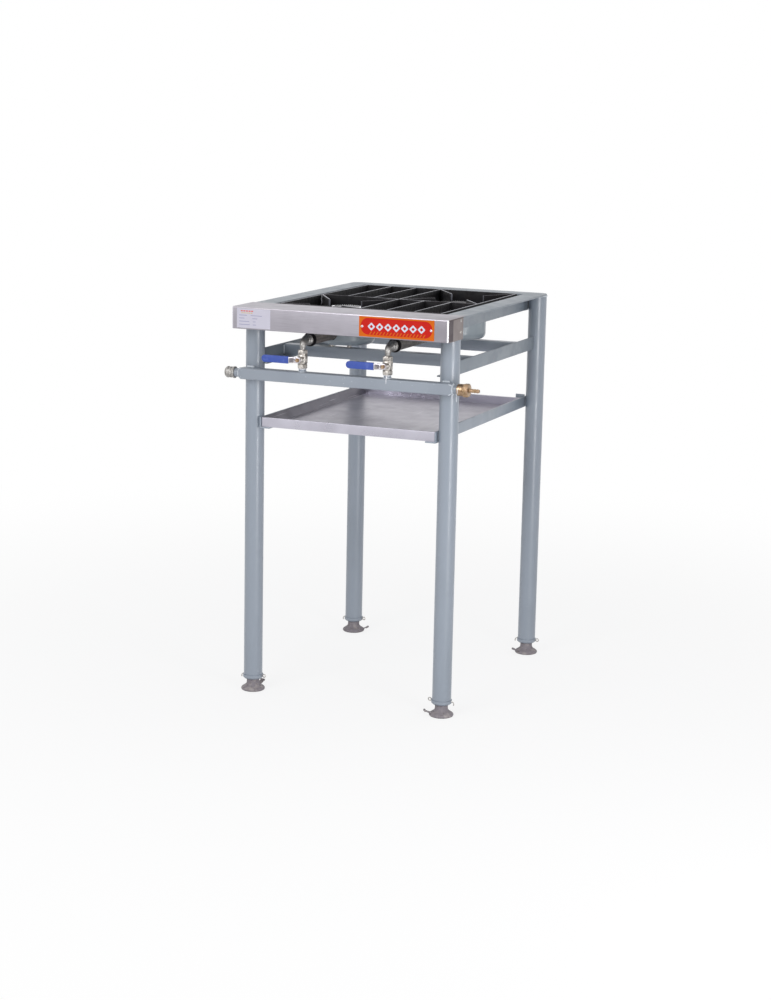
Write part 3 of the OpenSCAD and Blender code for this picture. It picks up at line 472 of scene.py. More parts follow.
    def dress(self, body: str, slot: str, finishes: Sequence["Finish"],
              stands_for: Sequence[str] = ()) -> bpy.types.Object:
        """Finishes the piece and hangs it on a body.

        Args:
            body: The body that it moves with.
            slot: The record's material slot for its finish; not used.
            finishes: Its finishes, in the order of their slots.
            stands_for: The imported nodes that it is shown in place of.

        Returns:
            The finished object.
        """
        bmesh.ops.recalc_face_normals(self.mesh, faces=self.mesh.faces)
        data = bpy.data.meshes.new(self.name)
        self.mesh.to_mesh(data)
        self.mesh.free()
        stale = data.attributes.get("custom_normal")
        if stale:
            data.attributes.remove(stale)
        data.transform(Matrix.Scale(METRES_PER_MM, 4))
        data.polygons.foreach_set("use_smooth", [True] * len(data.polygons))
        data.set_sharp_from_angle(angle=math.radians(SHOWN_EDGE))
        for finish in finishes:
            data.materials.append(finish.material())
        piece = bpy.data.objects.new(self.name, data)
        bpy.context.scene.collection.objects.link(piece)
        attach(piece, body)
        if stands_for:
            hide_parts(*stands_for)
        LOG.info("%s: %d faces on %s", self.name, len(data.polygons), body)
        return piece


# ---------------------------------------------------------------- finishes


def add_node(tree: bpy.types.NodeTree, kind: str, settings: dict | None = None,
             links: dict | None = None) -> bpy.types.Node:
    """Adds a node to a tree.

    Args:
        tree: The material's or world's tree.
        kind: The node's type.
        settings: Values by input name or number, or by the node's own attribute.
        links: Output sockets by input name or number.

    Returns:
        The new node.
    """
    node = tree.nodes.new(kind)
    for key, value in (settings or {}).items():
        if isinstance(key, int) or key in node.inputs:
            node.inputs[key].default_value = value
        else:
            setattr(node, key, value)
    for key, source in (links or {}).items():
        tree.links.new(source, node.inputs[key])
    return node


class Surface:
    """A material while its pattern is drawn, in the object's own coordinates."""

    def __init__(self, name: str, tint: str, roughness: float, metal: bool) -> None:
        """Starts a plain surface of one colour.

        Args:
            name: The material's name.
            tint: Its colour as #rrggbb.
            roughness: Its roughness.
            metal: Whether it is bare metal.
        """
        self.material = bpy.data.materials.new(name)
        self.material.use_nodes = True
        self.tree = self.material.node_tree
        self.shader = self.tree.nodes["Principled BSDF"]
        self.shader.inputs["Base Color"].default_value = linear(tint)
        self.shader.inputs["Roughness"].default_value = roughness
        self.shader.inputs["Metallic"].default_value = 1.0 if metal else 0.0
        self.tint = tint
        self.place = add_node(self.tree, "ShaderNodeTexCoord").outputs["Object"]

    def share(self, source: bpy.types.NodeSocket, low: float, high: float) -> bpy.types.NodeSocket:
        """Spreads part of a pattern's range over 0 to 1.

        Args:
            source: The pattern.
            low: Its value that gives 0.
            high: Its value that gives 1.

        Returns:
            The spread pattern.
        """
        spread = add_node(self.tree, "ShaderNodeMapRange",
                          {"interpolation_type": "SMOOTHSTEP", "From Min": low, "From Max": high},
                          {"Value": source})
        return spread.outputs["Result"]

    def ramp(self, start: float, end: float, axis: str = "X") -> bpy.types.NodeSocket:
        """Rises from 0 at one place along an axis to 1 at another, in millimetres."""
        parts = add_node(self.tree, "ShaderNodeSeparateXYZ", {}, {"Vector": self.place})
        return self.share(parts.outputs[axis], start * METRES_PER_MM, end * METRES_PER_MM)

    def patches(self, size: float, low: float = 0.4, high: float = 0.65,
                stretch: Sequence[float] = (1, 1, 1), detail: float = 3.0) -> bpy.types.NodeSocket:
        """Draws soft uneven patches, or strokes where they are stretched.

        Args:
            size: How big a patch is, in millimetres.
            low: The pattern's value at which a patch starts.
            high: The value at which it is full.
            stretch: How many times as long a patch is along each axis.
            detail: How finely its edge is broken up.

        Returns:
            The share of the patch at each point, from 0 to 1.
        """
        spread = add_node(self.tree, "ShaderNodeMapping",
                          {"Scale": [per_metre(size * longer) for longer in stretch]},
                          {"Vector": self.place})
        noise = add_node(self.tree, "ShaderNodeTexNoise", {"Scale": 1.0, "Detail": detail},
                         {"Vector": spread.outputs["Vector"]})
        return self.share(noise.outputs["Fac"], low, high)

    def specks(self, spacing: float, size: float) -> bpy.types.NodeSocket:
        """Scatters small round specks.

        Args:
            spacing: The mean distance between two specks, in millimetres.
            size: A speck's width, in millimetres.

        Returns:
            1 inside a speck and 0 outside it.
        """
        cells = add_node(self.tree, "ShaderNodeTexVoronoi", {"Scale": per_metre(spacing)},
                         {"Vector": self.place})
        reach = size / spacing / 2
        return self.share(cells.outputs["Distance"], reach, reach * 0.5)

    def blend(self, share: bpy.types.NodeSocket, tint: str, strength: float = 1.0) -> None:
        """Lays a second colour over the surface.

        Args:
            share: Where it lies, from 0 to 1.
            tint: The colour as #rrggbb.
            strength: How much of it shows where the share is 1.
        """
        base = self.shader.inputs["Base Color"]
        below = base.links[0].from_socket if base.is_linked else None
        amount = add_node(self.tree, "ShaderNodeMath", {"operation": "MULTIPLY", 1: strength}, {0: share})
        mix = add_node(self.tree, "ShaderNodeMix",
                       {"data_type": "RGBA", 6: linear(self.tint), 7: linear(tint)},
                       {0: amount.outputs[0]})
        if below:
            self.tree.links.new(below, mix.inputs[6])
        self.tree.links.new(mix.outputs[2], base)

    def polish(self, share: bpy.types.NodeSocket, low: float, high: float) -> None:
        """Makes the roughness run from low to high with a pattern's share."""
        spread = add_node(self.tree, "ShaderNodeMapRange", {"To Min": low, "To Max": high},
                          {"Value": share})
        self.tree.links.new(spread.outputs["Result"], self.shader.inputs["Roughness"])

    def relief(self, share: bpy.types.NodeSocket, depth: float, strength: float = 1.0) -> None:
        """Raises the surface where a pattern's share is high.

        Args:
            share: The pattern, from 0 to 1.
            depth: How far it is raised, in millimetres.
            strength: How strongly the relief turns the light.
        """
        normal = self.shader.inputs["Normal"]
        bump = add_node(self.tree, "ShaderNodeBump",
                        {"Strength": strength, "Distance": depth * METRES_PER_MM}, {"Height": share})
        if normal.is_linked:
            self.tree.links.new(normal.links[0].from_socket, bump.inputs["Normal"])
        self.tree.links.new(bump.outputs["Normal"], normal)


@dataclass(frozen=True)
class Finish(ABC):
    """A surface of one real material, as it left its maker and wore since."""

    name: str
    tint: str
    roughness: float

    metal = False

    def material(self) -> bpy.types.Material:
        """Gives this finish's material, which is made the first time.

        Returns:
            The material.
        """
        made = bpy.data.materials.get(self.name)
        if made:
            return made
        surface = Surface(self.name, self.tint, self.roughness, self.metal)
        self.draw(surface)
        return surface.material

    @abstractmethod
    def draw(self, surface: Surface) -> None:
        """Draws what the eye sees on this material."""


@dataclass(frozen=True)
class SprayedEnamel(Finish):
    """Air-dried machine enamel, sprayed over mill-finish steel tube and angle.

    It is half glossy, with a fine orange-peel skin, thinner and darker patches where a second
    pass missed, and dust and weld spatter that stand up under the film.
    """

    shade: str = "#76828B"
    speck: str = "#B4BCC4"
    speck_spacing: float = 14.0
    speck_size: float = 1.5
    peel: float = 2.6
    gloss: float = 0.9

    def draw(self, surface: Surface) -> None:
        """Draws the patches, specks and orange peel, under a gloss that is strong for enamel.

        Args:
            surface: The surface that carries them.
        """
        surface.shader.inputs["Specular IOR Level"].default_value = self.gloss
        surface.blend(surface.patches(110, 0.45, 0.75, (1, 1, 2.5)), self.shade, 0.55)
        specks = surface.specks(self.speck_spacing, self.speck_size)
        surface.blend(specks, self.speck, 0.65)
        surface.polish(surface.patches(30), self.roughness, self.roughness + 0.12)
        surface.relief(surface.patches(self.peel, 0.2, 0.8), 0.05, 0.25)
        surface.relief(specks, 0.25, 0.6)


@dataclass(frozen=True)
class BrushedSteel(Finish):
    """Stainless sheet with a number 4 brushed face.

    The belt leaves fine straight strokes, which break a reflection up across them; handling
    leaves faint cloudy smears. The strokes are drawn about three times as coarse as grit 180
    leaves them, so that they show.
    """

    stroke: float = 0.9
    stretch: tuple[float, float, float] = (60.0, 1.0, 1.0)
    dark: str = "#9A949E"
    dark_share: float = 0.5
    pale: str = "#CBC7CF"
    fade: tuple[float, float] | None = None
    end_tint: str = "#827E84"
    metal = True

    def draw(self, surface: Surface) -> None:
        """Draws the strokes and the smears, and darkens the sheet towards high X where a fade is given.

        Args:
            surface: The surface that carries them.
        """
        if self.fade:
            surface.blend(surface.ramp(*self.fade), self.end_tint, 0.75)
        strokes = surface.patches(self.stroke, 0.35, 0.7, self.stretch, 2.0)
        surface.blend(surface.patches(70, 0.35, 0.75), self.pale, 0.45)
        surface.blend(strokes, self.dark, self.dark_share)
        surface.polish(surface.patches(24), self.roughness, self.roughness + 0.08)
        surface.relief(strokes, 0.02, 0.25)


@dataclass(frozen=True)
class RolledSteel(Finish):
    """Stainless sheet with a bright cold-rolled 2B face, bent to a tray.

    It is smooth and cloudy with next to no grain, and holds a few long scratches and dull
    water marks where things slid and dried on it.
    """

    dark: str = "#8E8A95"
    metal = True

    def draw(self, surface: Surface) -> None:
        """Draws the clouds, marks and scratches.

        Args:
            surface: The surface that carries them.
        """
        surface.blend(surface.patches(90, 0.35, 0.75), self.dark, 0.4)
        scratches = surface.patches(2.2, 0.66, 0.74, (1, 60, 1), 1.0)
        surface.blend(scratches, "#D8D5DC", 0.35)
        surface.polish(surface.patches(35, 0.3, 0.8), self.roughness, self.roughness + 0.14)
        surface.relief(surface.patches(45, 0.3, 0.7), 0.12, 0.15)


@dataclass(frozen=True)
class HotDipZinc(Finish):
    """Malleable iron pipe fitting, hot-dip galvanised.

    The zinc keeps the sand casting's grain, runs thicker on the edges and greys unevenly, so
    the eye meets a dull white metal with darker hollows.
    """

    dark: str = "#77736F"
    metal = True

    def draw(self, surface: Surface) -> None:
        """Draws the zinc's bloom and the casting's grain.

        Args:
            surface: The surface that carries them.
        """
        surface.blend(surface.patches(5, 0.42, 0.62), self.dark, 0.65)
        surface.blend(surface.patches(1.6, 0.5, 0.7), "#D9D7D3", 0.5)
        surface.polish(surface.patches(3), self.roughness, self.roughness + 0.2)
        surface.relief(surface.patches(1.8, 0.3, 0.7), 0.18, 0.5)


@dataclass(frozen=True)
class SatinNickel(Finish):
    """Forged brass with a satin nickel plate, as on a ball valve.

    The forging is blasted before it is plated, so it is softly mottled; the milled flats are
    brighter, and grime darkens the corners to brown.
    """

    dark: str = "#7F7770"
    metal = True

    def draw(self, surface: Surface) -> None:
        """Draws the mottling and the grime.

        Args:
            surface: The surface that carries them.
        """
        surface.blend(surface.patches(6, 0.42, 0.62), self.dark, 0.6)
        surface.blend(surface.patches(2.4, 0.52, 0.68), "#EFEBE6", 0.6)
        surface.polish(surface.patches(2.5), self.roughness, self.roughness + 0.18)
        surface.relief(surface.patches(1.3, 0.3, 0.7), 0.1, 0.4)


@dataclass(frozen=True)
class TurnedBrass(Finish):
    """Free-cutting brass bar, turned and milled, and left bare.

    The tool leaves fine rings round the turning axis; fingers and air leave darker, redder
    tarnish. The rings are drawn twice as far apart as the feed leaves them, so that they show.
    """

    dark: str = "#8A6126"
    stretch: tuple[float, float, float] = (1.0, 30.0, 30.0)
    metal = True

    def draw(self, surface: Surface) -> None:
        """Draws the tarnish and the tool's rings.

        Args:
            surface: The surface that carries them.
        """
        surface.blend(surface.patches(7, 0.42, 0.66), self.dark, 0.6)
        surface.blend(surface.patches(3, 0.56, 0.7), "#D2BC96", 0.5)
        surface.polish(surface.patches(4), self.roughness, self.roughness + 0.16)
        surface.relief(surface.patches(0.7, 0.3, 0.7, self.stretch, 1.0), 0.03, 0.3)


@dataclass(frozen=True)
class BlackIron(Finish):
    """Cast or rolled iron under a thin heat-proof black enamel.

    The enamel is glassy over a sandy skin, so its highlights are small and broken; rust brown
    shows faintly where it is thin.
    """

    thin: str = "#2C2624"
    gloss: float = 0.16

    def draw(self, surface: Surface) -> None:
        """Draws the thin places and the sandy skin, under a gloss that is weak for enamel.

        Args:
            surface: The surface that carries them.
        """
        surface.shader.inputs["Specular IOR Level"].default_value = self.gloss
        surface.blend(surface.patches(28, 0.5, 0.75), self.thin, 0.6)
        surface.polish(surface.patches(9), self.roughness, self.roughness + 0.2)
        surface.relief(surface.patches(1.5, 0.3, 0.7), 0.08, 0.4)


@dataclass(frozen=True)
class WornIron(Finish):
    """Iron rubbed bare by pans and cleaning, on top of a bar or along an edge.

    The rubbed metal is grey and bright, with black enamel left in its low places.
    """

    left: str = "#2A2A2E"
    left_share: float = 0.45
    metal = True

    def draw(self, surface: Surface) -> None:
        """Draws what is left of the enamel.

        Args:
            surface: The surface that carries them.
        """
        surface.blend(surface.patches(9, 0.52, 0.66), self.left, self.left_share)
        surface.polish(surface.patches(3), self.roughness, self.roughness + 0.2)
        surface.relief(surface.patches(1.2, 0.3, 0.7), 0.05, 0.4)


@dataclass(frozen=True)
class ZincPlate(Finish):
    """Mild steel with a bright electroplated zinc coat, as on bolts, rivets and levers.

    It is smooth and pale with a faint yellow and blue bloom and dulls in small spots.
    """

    dark: str = "#8B8784"
    metal = True

    def draw(self, surface: Surface) -> None:
        """Draws the bloom and the dull spots.

        Args:
            surface: The surface that carries them.
        """
        surface.blend(surface.patches(4, 0.45, 0.65), self.dark, 0.5)
        surface.blend(surface.patches(11, 0.5, 0.7), "#C9C2B2", 0.35)
        surface.polish(surface.patches(2), self.roughness, self.roughness + 0.15)
        surface.relief(surface.patches(0.9, 0.3, 0.7), 0.03, 0.3)


@dataclass(frozen=True)
class DippedVinyl(Finish):
    """Soft vinyl, dipped hot over a lever.

    The skin is smooth and half glossy with a faint orange peel, sags a little, and picks up
    pale dust and small rubbed spots.
    """

    pale: str = "#6C7DC4"

    def draw(self, surface: Surface) -> None:
        """Draws the dust, the rubbed spots and the skin.

        Args:
            surface: The surface that carries them.
        """
        surface.blend(surface.patches(20, 0.55, 0.75), self.pale, 0.4)
        surface.blend(surface.specks(9, 0.8), "#8C99D2", 0.5)
        surface.polish(surface.patches(8), self.roughness, self.roughness + 0.15)
        surface.relief(surface.patches(3.5, 0.3, 0.7), 0.08, 0.3)


@dataclass(frozen=True)
class MouldedRubber(Finish):
    """Grey rubber, moulded, with dust trodden into it.

    It is dull with a soft sheen on its edges, and stained brown and pale in patches.
    """

    dust: str = "#A9A29F"
    stain: str = "#6E6664"

    def draw(self, surface: Surface) -> None:
        """Draws the dust and the stains.

        Args:
            surface: The surface that carries them.
        """
        surface.blend(surface.patches(14, 0.45, 0.7), self.dust, 0.6)
        surface.blend(surface.patches(6, 0.55, 0.7), self.stain, 0.6)
        surface.polish(surface.patches(5), self.roughness, self.roughness + 0.15)
        surface.relief(surface.patches(1.1, 0.3, 0.7), 0.06, 0.35)


@dataclass(frozen=True)
class PrintedFilm(Finish):
    """Screen ink or film on a thin plate.

    The ink lies flat and even, with a slight screen grain and a soft gloss.
    """

    grain: str = "#000000"
    grain_share: float = 0.06
    gloss: float = 0.2

    def draw(self, surface: Surface) -> None:
        """Draws the ink's cloud and the screen's grain, under a weak gloss.

        Args:
            surface: The surface that carries them.
        """
        surface.shader.inputs["Specular IOR Level"].default_value = self.gloss
        surface.blend(surface.patches(16, 0.4, 0.7), self.grain, self.grain_share)
        surface.blend(surface.patches(0.9, 0.5, 0.7), self.grain, self.grain_share)
        surface.polish(surface.patches(6), self.roughness, self.roughness + 0.1)
        surface.relief(surface.patches(0.8, 0.3, 0.7), 0.01, 0.2)


@dataclass(frozen=True)
class SinteredPtfe(Finish):
    """White fluoropolymer, cut as a seat ring or pulled as thread tape.

    It is waxy and white, and takes a grey smear from the threads.
    """

    smear: str = "#C9CBD0"

    def draw(self, surface: Surface) -> None:
        """Draws the smears and the tape's pull.

        Args:
            surface: The surface that carries them.
        """
        surface.blend(surface.patches(3, 0.5, 0.7), self.smear, 0.7)
        surface.polish(surface.patches(2), self.roughness, self.roughness + 0.15)
        surface.relief(surface.patches(0.6, 0.3, 0.7, (4, 4, 1)), 0.05, 0.5)


@dataclass(frozen=True)
class SootedSteel(Finish):
    """Drawn steel burner tube, blued and sooted by heat.

    The drawing leaves long streaks; heat turns them dark brown and grey.
    """

    streak: str = "#8B8078"

    def draw(self, surface: Surface) -> None:
        """Draws the streaks and the soot.

        Args:
            surface: The surface that carries them.
        """
        surface.blend(surface.patches(3, 0.45, 0.7, (1, 30, 1)), self.streak, 0.6)
        surface.blend(surface.patches(22, 0.5, 0.75), "#2B2728", 0.6)
        surface.polish(surface.patches(7), self.roughness, self.roughness + 0.2)
        surface.relief(surface.patches(2, 0.3, 0.7, (1, 20, 1)), 0.05, 0.3)


# The frame's enamel has two copies: this lighter one, and a darker one on the top and mid rails that is
# painted shade.
PAINT = SprayedEnamel("grey_enamel_base_tone", "#8B94A0", 0.28, "#7D8691")
SHADED_ENAMEL = SprayedEnamel("grey_enamel_painted_shade", "#767F89", 0.36, "#6A737D")
SPATTERED_PAINT = SprayedEnamel("grey_enamel_over_weld_spatter", "#8A929D", 0.4, "#7A828E",
                                speck="#C9CFD7", speck_spacing=9.0, speck_size=2.2)
# Weld beads: the enamel lightened as a painted highlight on their ripples.
WELD_HIGHLIGHT_PAINT = SprayedEnamel("grey_enamel_weld_painted_highlight", "#CDD3DA", 0.28, "#A4ACB6",
                           speck="#E2E6EA", speck_spacing=6.0, speck_size=2.0)
BOWL_PAINT = SprayedEnamel("grey_enamel_on_pressed_bowl", "#98A3AB", 0.28, "#7C878F")
# The brushed front darkens towards its right-hand end.
FRONT_STEEL = BrushedSteel("brushed_stainless_along", "#A7A4AC", 0.34, dark="#918C95", pale="#BDB9C1",
                           fade=(60.0, 240.0))
# Copies of the brushed front: a darker brown one for the returns and lip as painted reflection, and lighter
# ones for the corner bends and the top fold as painted highlight.
RETURN_REFLECTION_STEEL = BrushedSteel("brushed_stainless_upright", "#8B8281", 0.38, 0.9, (1, 1, 60), "#746B6A", 0.5,
                            "#948B8A")
# Dark scored stainless for the corner tabs; the same finish is painted shadow under the top's edge and
# painted shade in the rivet hollows.
TAB_AND_SHADOW_STEEL = BrushedSteel("scored_stainless_corner", "#574D52", 0.4, 1.3, (1, 1, 60), "#453E42", 0.7,
                         "#726A6D")
BEND_HIGHLIGHT_STEEL = BrushedSteel("bright_stainless_bend", "#E6E4EA", 0.22, 0.9, (60, 1, 1), "#C9C6CE", 0.4,
                          "#F2F1F5")
FOLD_HIGHLIGHT_STEEL = BrushedSteel("stainless_top_fold_painted_highlight", "#BBB7BF", 0.3, 0.9, (60, 1, 1), "#A7A2AB", 0.4, "#CFCCD3")
TRAY_STEEL = RolledSteel("rolled_stainless_tray", "#A6A3AD", 0.3)
TRAY_HEM = RolledSteel("rolled_stainless_hem", "#BDBBC6", 0.26, "#A3A1AC")
# A darker copy of the tray's steel, as painted shade on its left side.
SHADED_TRAY_SIDE = RolledSteel("stainless_tray_wall_painted_shade", "#6F6D76", 0.34, "#5C5A62")
GALVANISED = HotDipZinc("galvanised_malleable_iron", "#ACAAA8", 0.42)
NICKEL = SatinNickel("nickel_plated_brass", "#C9C4BE", 0.3)
BRASS = TurnedBrass("bare_brass", "#AC9178", 0.28, "#79603A")
CAST_IRON = BlackIron("black_enamelled_iron", "#1C1B1E", 0.5, "#221E1D")
# Bar tops: rubbed bare, and lightened as a painted highlight; a darker copy for tops that run one way is
# painted shade.
RUBBED_LIT_TOP = WornIron("rubbed_iron_top_painted_highlight", "#8F8F97", 0.35)
# A grate weld lightened as a painted highlight.
WELD_HIGHLIGHT_IRON = WornIron("bright_iron_weld", "#B9B9C0", 0.35, "#3A3A3F", 0.4)
# Rubbed finger ends, lightened further as a painted highlight.
LIT_FINGER_TIP = WornIron("rubbed_finger_tip_painted_highlight", "#5F5F66", 0.45, "#2E2E32", 0.4)
RUBBED_SHADED_TOP = WornIron("rubbed_iron_top_painted_shade", "#57535A", 0.45, "#262427", 0.5)
CAP_IRON = WornIron("machined_burner_cap_iron", "#9B9A9C", 0.4, "#5A5654", 0.6)
# Machined teeth lightened as a painted highlight.
TEETH_HIGHLIGHT = WornIron("bright_machined_teeth", "#E4E3E6", 0.32, "#8C8B8E", 0.35)
# The rear cap's iron, darkened all over as painted shade.
SHADED_CAP = WornIron("burner_cap_iron_painted_shade", "#3F3D40", 0.45, "#29272A", 0.5)
ZINC = ZincPlate("zinc_plated_steel", "#C3BFBC", 0.28)
LEVER_STEEL = ZincPlate("zinc_plated_lever", "#CFCBD2", 0.3, "#9C98A0")
LEVER_SHADE = ZincPlate("zinc_lever_painted_shade", "#7E7A80", 0.42, "#56525A")
VINYL = DippedVinyl("blue_dipped_vinyl", "#344D9F", 0.45)
RUBBER = MouldedRubber("grey_moulded_rubber", "#827C82", 0.6)
ORANGE_INK = PrintedFilm("orange_screen_ink", "#CB6208", 0.4, "#A04206")
RED_INK = PrintedFilm("red_screen_ink", "#BD190D", 0.4, "#8A0A0C")
PALE_INK = PrintedFilm("pale_screen_ink", "#CDD1DE", 0.4, "#A9B4C8")
LABEL_FILM = PrintedFilm("white_label_film", "#C3C1CE", 0.4, "#A5A3B0")
LABEL_BLUE = PrintedFilm("faint_blue_label_ink", "#8F8FAE", 0.4, "#77779A")
LABEL_RED = PrintedFilm("faint_red_label_ink", "#CF6A62", 0.4, "#B4544C")
LABEL_YELLOW = PrintedFilm("faint_yellow_label_ink", "#C9B067", 0.4, "#AE9550")
PTFE = SinteredPtfe("white_ptfe", "#EDEEF2", 0.45)
BURNER_STEEL = SootedSteel("sooted_burner_steel", "#5B5552", 0.42)


def refinish(finish: Finish, *nodes: str) -> None:
    """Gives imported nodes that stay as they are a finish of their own.

    Args:
        finish: The finish.
        nodes: The nodes' names.
    """
    for name in nodes:
        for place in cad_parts[name].material_slots:
            place.material = finish.material()
        LOG.info("%s: kept, in %s", name, finish.name)


# ---------------------------------------------------------------- studio


@dataclass(frozen=True)
class Lamp:
    """A square or oblong softbox that looks at the stand."""

    name: str
    place: tuple[float, float, float]
    size: tuple[float, float]
    share: float
    target: tuple[float, float, float] = (0.0, 0.0, 550.0)

    def light(self) -> None:
        """Hangs the softbox; its share is how bright it makes a white face turned to it."""
        lamp = bpy.data.lights.new(self.name, "AREA")
        lamp.shape = "RECTANGLE"
        lamp.size, lamp.size_y = (side * METRES_PER_MM for side in self.size)
        ray = (Vector(self.target) - Vector(self.place)) * METRES_PER_MM
        lamp.energy = self.share * math.pi**2 * ray.length_squared
        stand = bpy.data.objects.new(self.name, lamp)
        stand.location = Vector(self.place) * METRES_PER_MM
        stand.rotation_euler = ray.to_track_quat("-Z", "Y").to_euler()
        bpy.context.scene.collection.objects.link(stand)


@dataclass
class Studio:
    """A plain white studio: the floor, the air round it, the softboxes and the camera."""

    floor_radius: float = 30000.0
    floor_colour: str = "#EDEDEF"
    floor_white: float = 0.82
    floor_fade: tuple[float, float] = (500.0, 2500.0)
    air_light: float = 0.58
    eye: tuple[float, float, float] = (1780.2, -4406.8, 1374.0)
    turn: float = 22.365
    dip: float = 11.406
    roll: float = 1.143
    lens: float = 75.47
    lamps: tuple[Lamp, ...] = (
        Lamp("front_softbox", (-700, -3000, 2100), (1800, 1400), 0.3),
        Lamp("right_softbox", (1830, -1430, 650), (600, 1250), 0.3),
        Lamp("top_softbox", (300, 300, 3200), (1800, 1800), 0.1),
    )

    def seen(self, tree: bpy.types.NodeTree) -> bpy.types.NodeSocket:
        """Tells a ray that ends in the eye, straight or by way of metal or glass.

        Args:
            tree: The material's or world's tree.

        Returns:
            1 for such a ray and 0 for any other.
        """
        path = add_node(tree, "ShaderNodeLightPath")
        straight = add_node(tree, "ShaderNodeMath", {"operation": "MAXIMUM"},
                            {0: path.outputs["Is Camera Ray"], 1: path.outputs["Is Glossy Ray"]})
        both = add_node(tree, "ShaderNodeMath", {"operation": "MAXIMUM"},
                        {0: straight.outputs[0], 1: path.outputs["Is Transmission Ray"]})
        return both.outputs[0]

    def fill_air(self) -> None:
        """Makes the surroundings white to the eye and softly lit to everything else."""
        world = bpy.data.worlds.new("white_studio")
        world.use_nodes = True
        tree = world.node_tree
        level = add_node(tree, "ShaderNodeMapRange", {"To Min": self.air_light, "To Max": 1.0},
                         {"Value": self.seen(tree)})
        background = tree.nodes["Background"]
        background.inputs["Color"].default_value = (1.0, 1.0, 1.0, 1.0)
        tree.links.new(level.outputs["Result"], background.inputs["Strength"])
        bpy.context.scene.world = world

    def lay_floor(self) -> None:
        """Lays a pale floor that shows white and keeps the stand's shadow."""
        material = bpy.data.materials.new("white_studio_floor")
        material.use_nodes = True
        tree = material.node_tree
        shader = tree.nodes["Principled BSDF"]
        shader.inputs["Base Color"].default_value = linear(self.floor_colour)
        shader.inputs["Roughness"].default_value = 0.9
        shader.inputs["Specular IOR Level"].default_value = 0.0
        glow = add_node(tree, "ShaderNodeEmission", {"Color": (1.0, 1.0, 1.0, 1.0), "Strength": 1.0})
        place = add_node(tree, "ShaderNodeTexCoord").outputs["Object"]
        reach = add_node(tree, "ShaderNodeVectorMath", {"operation": "LENGTH"}, {0: place})
        start, end = (side * METRES_PER_MM for side in self.floor_fade)
        white = add_node(tree, "ShaderNodeMapRange",
                         {"interpolation_type": "SMOOTHSTEP", "From Min": start, "From Max": end,
                          "To Min": self.floor_white, "To Max": 1.0}, {"Value": reach.outputs["Value"]})
        share = add_node(tree, "ShaderNodeMath", {"operation": "MULTIPLY"},
                         {0: self.seen(tree), 1: white.outputs["Result"]})
        both = add_node(tree, "ShaderNodeMixShader", {},
                        {0: share.outputs[0], 1: shader.outputs[0], 2: glow.outputs[0]})
        tree.links.new(both.outputs[0], tree.nodes["Material Output"].inputs["Surface"])
        ground = bmesh.new()
        bmesh.ops.create_circle(ground, cap_ends=True, segments=96,
                                radius=self.floor_radius * METRES_PER_MM)
        data = bpy.data.meshes.new("floor")
        ground.to_mesh(data)
        ground.free()
        data.materials.append(material)
        floor = bpy.data.objects.new("floor", data)
        bpy.context.scene.collection.objects.link(floor)

    def set_camera(self) -> None:
        """Stands the camera at the cook's right front, a little above the stand."""
        lens = bpy.data.cameras.new("camera")
        lens.lens = self.lens
        lens.clip_start, lens.clip_end = 0.1, 100.0
        camera = bpy.data.objects.new("camera", lens)
        turn = Matrix.Rotation(math.radians(self.turn), 4, "Z")
        dip = Matrix.Rotation(math.radians(90 - self.dip), 4, "X")
        roll = Matrix.Rotation(math.radians(self.roll), 4, "Z")
        place = Matrix.Translation(Vector(self.eye) * METRES_PER_MM)
        camera.matrix_world = place @ turn @ dip @ roll
        bpy.context.scene.collection.objects.link(camera)
        bpy.context.scene.camera = camera

    def build(self) -> None:
        """Sets the whole studio up."""
        bpy.context.scene.view_settings.view_transform = "Standard"
        self.fill_air()
        self.lay_floor()
        for lamp in self.lamps:
            lamp.light()
        self.set_camera()


# ---------------------------------------------------------------- steelwork


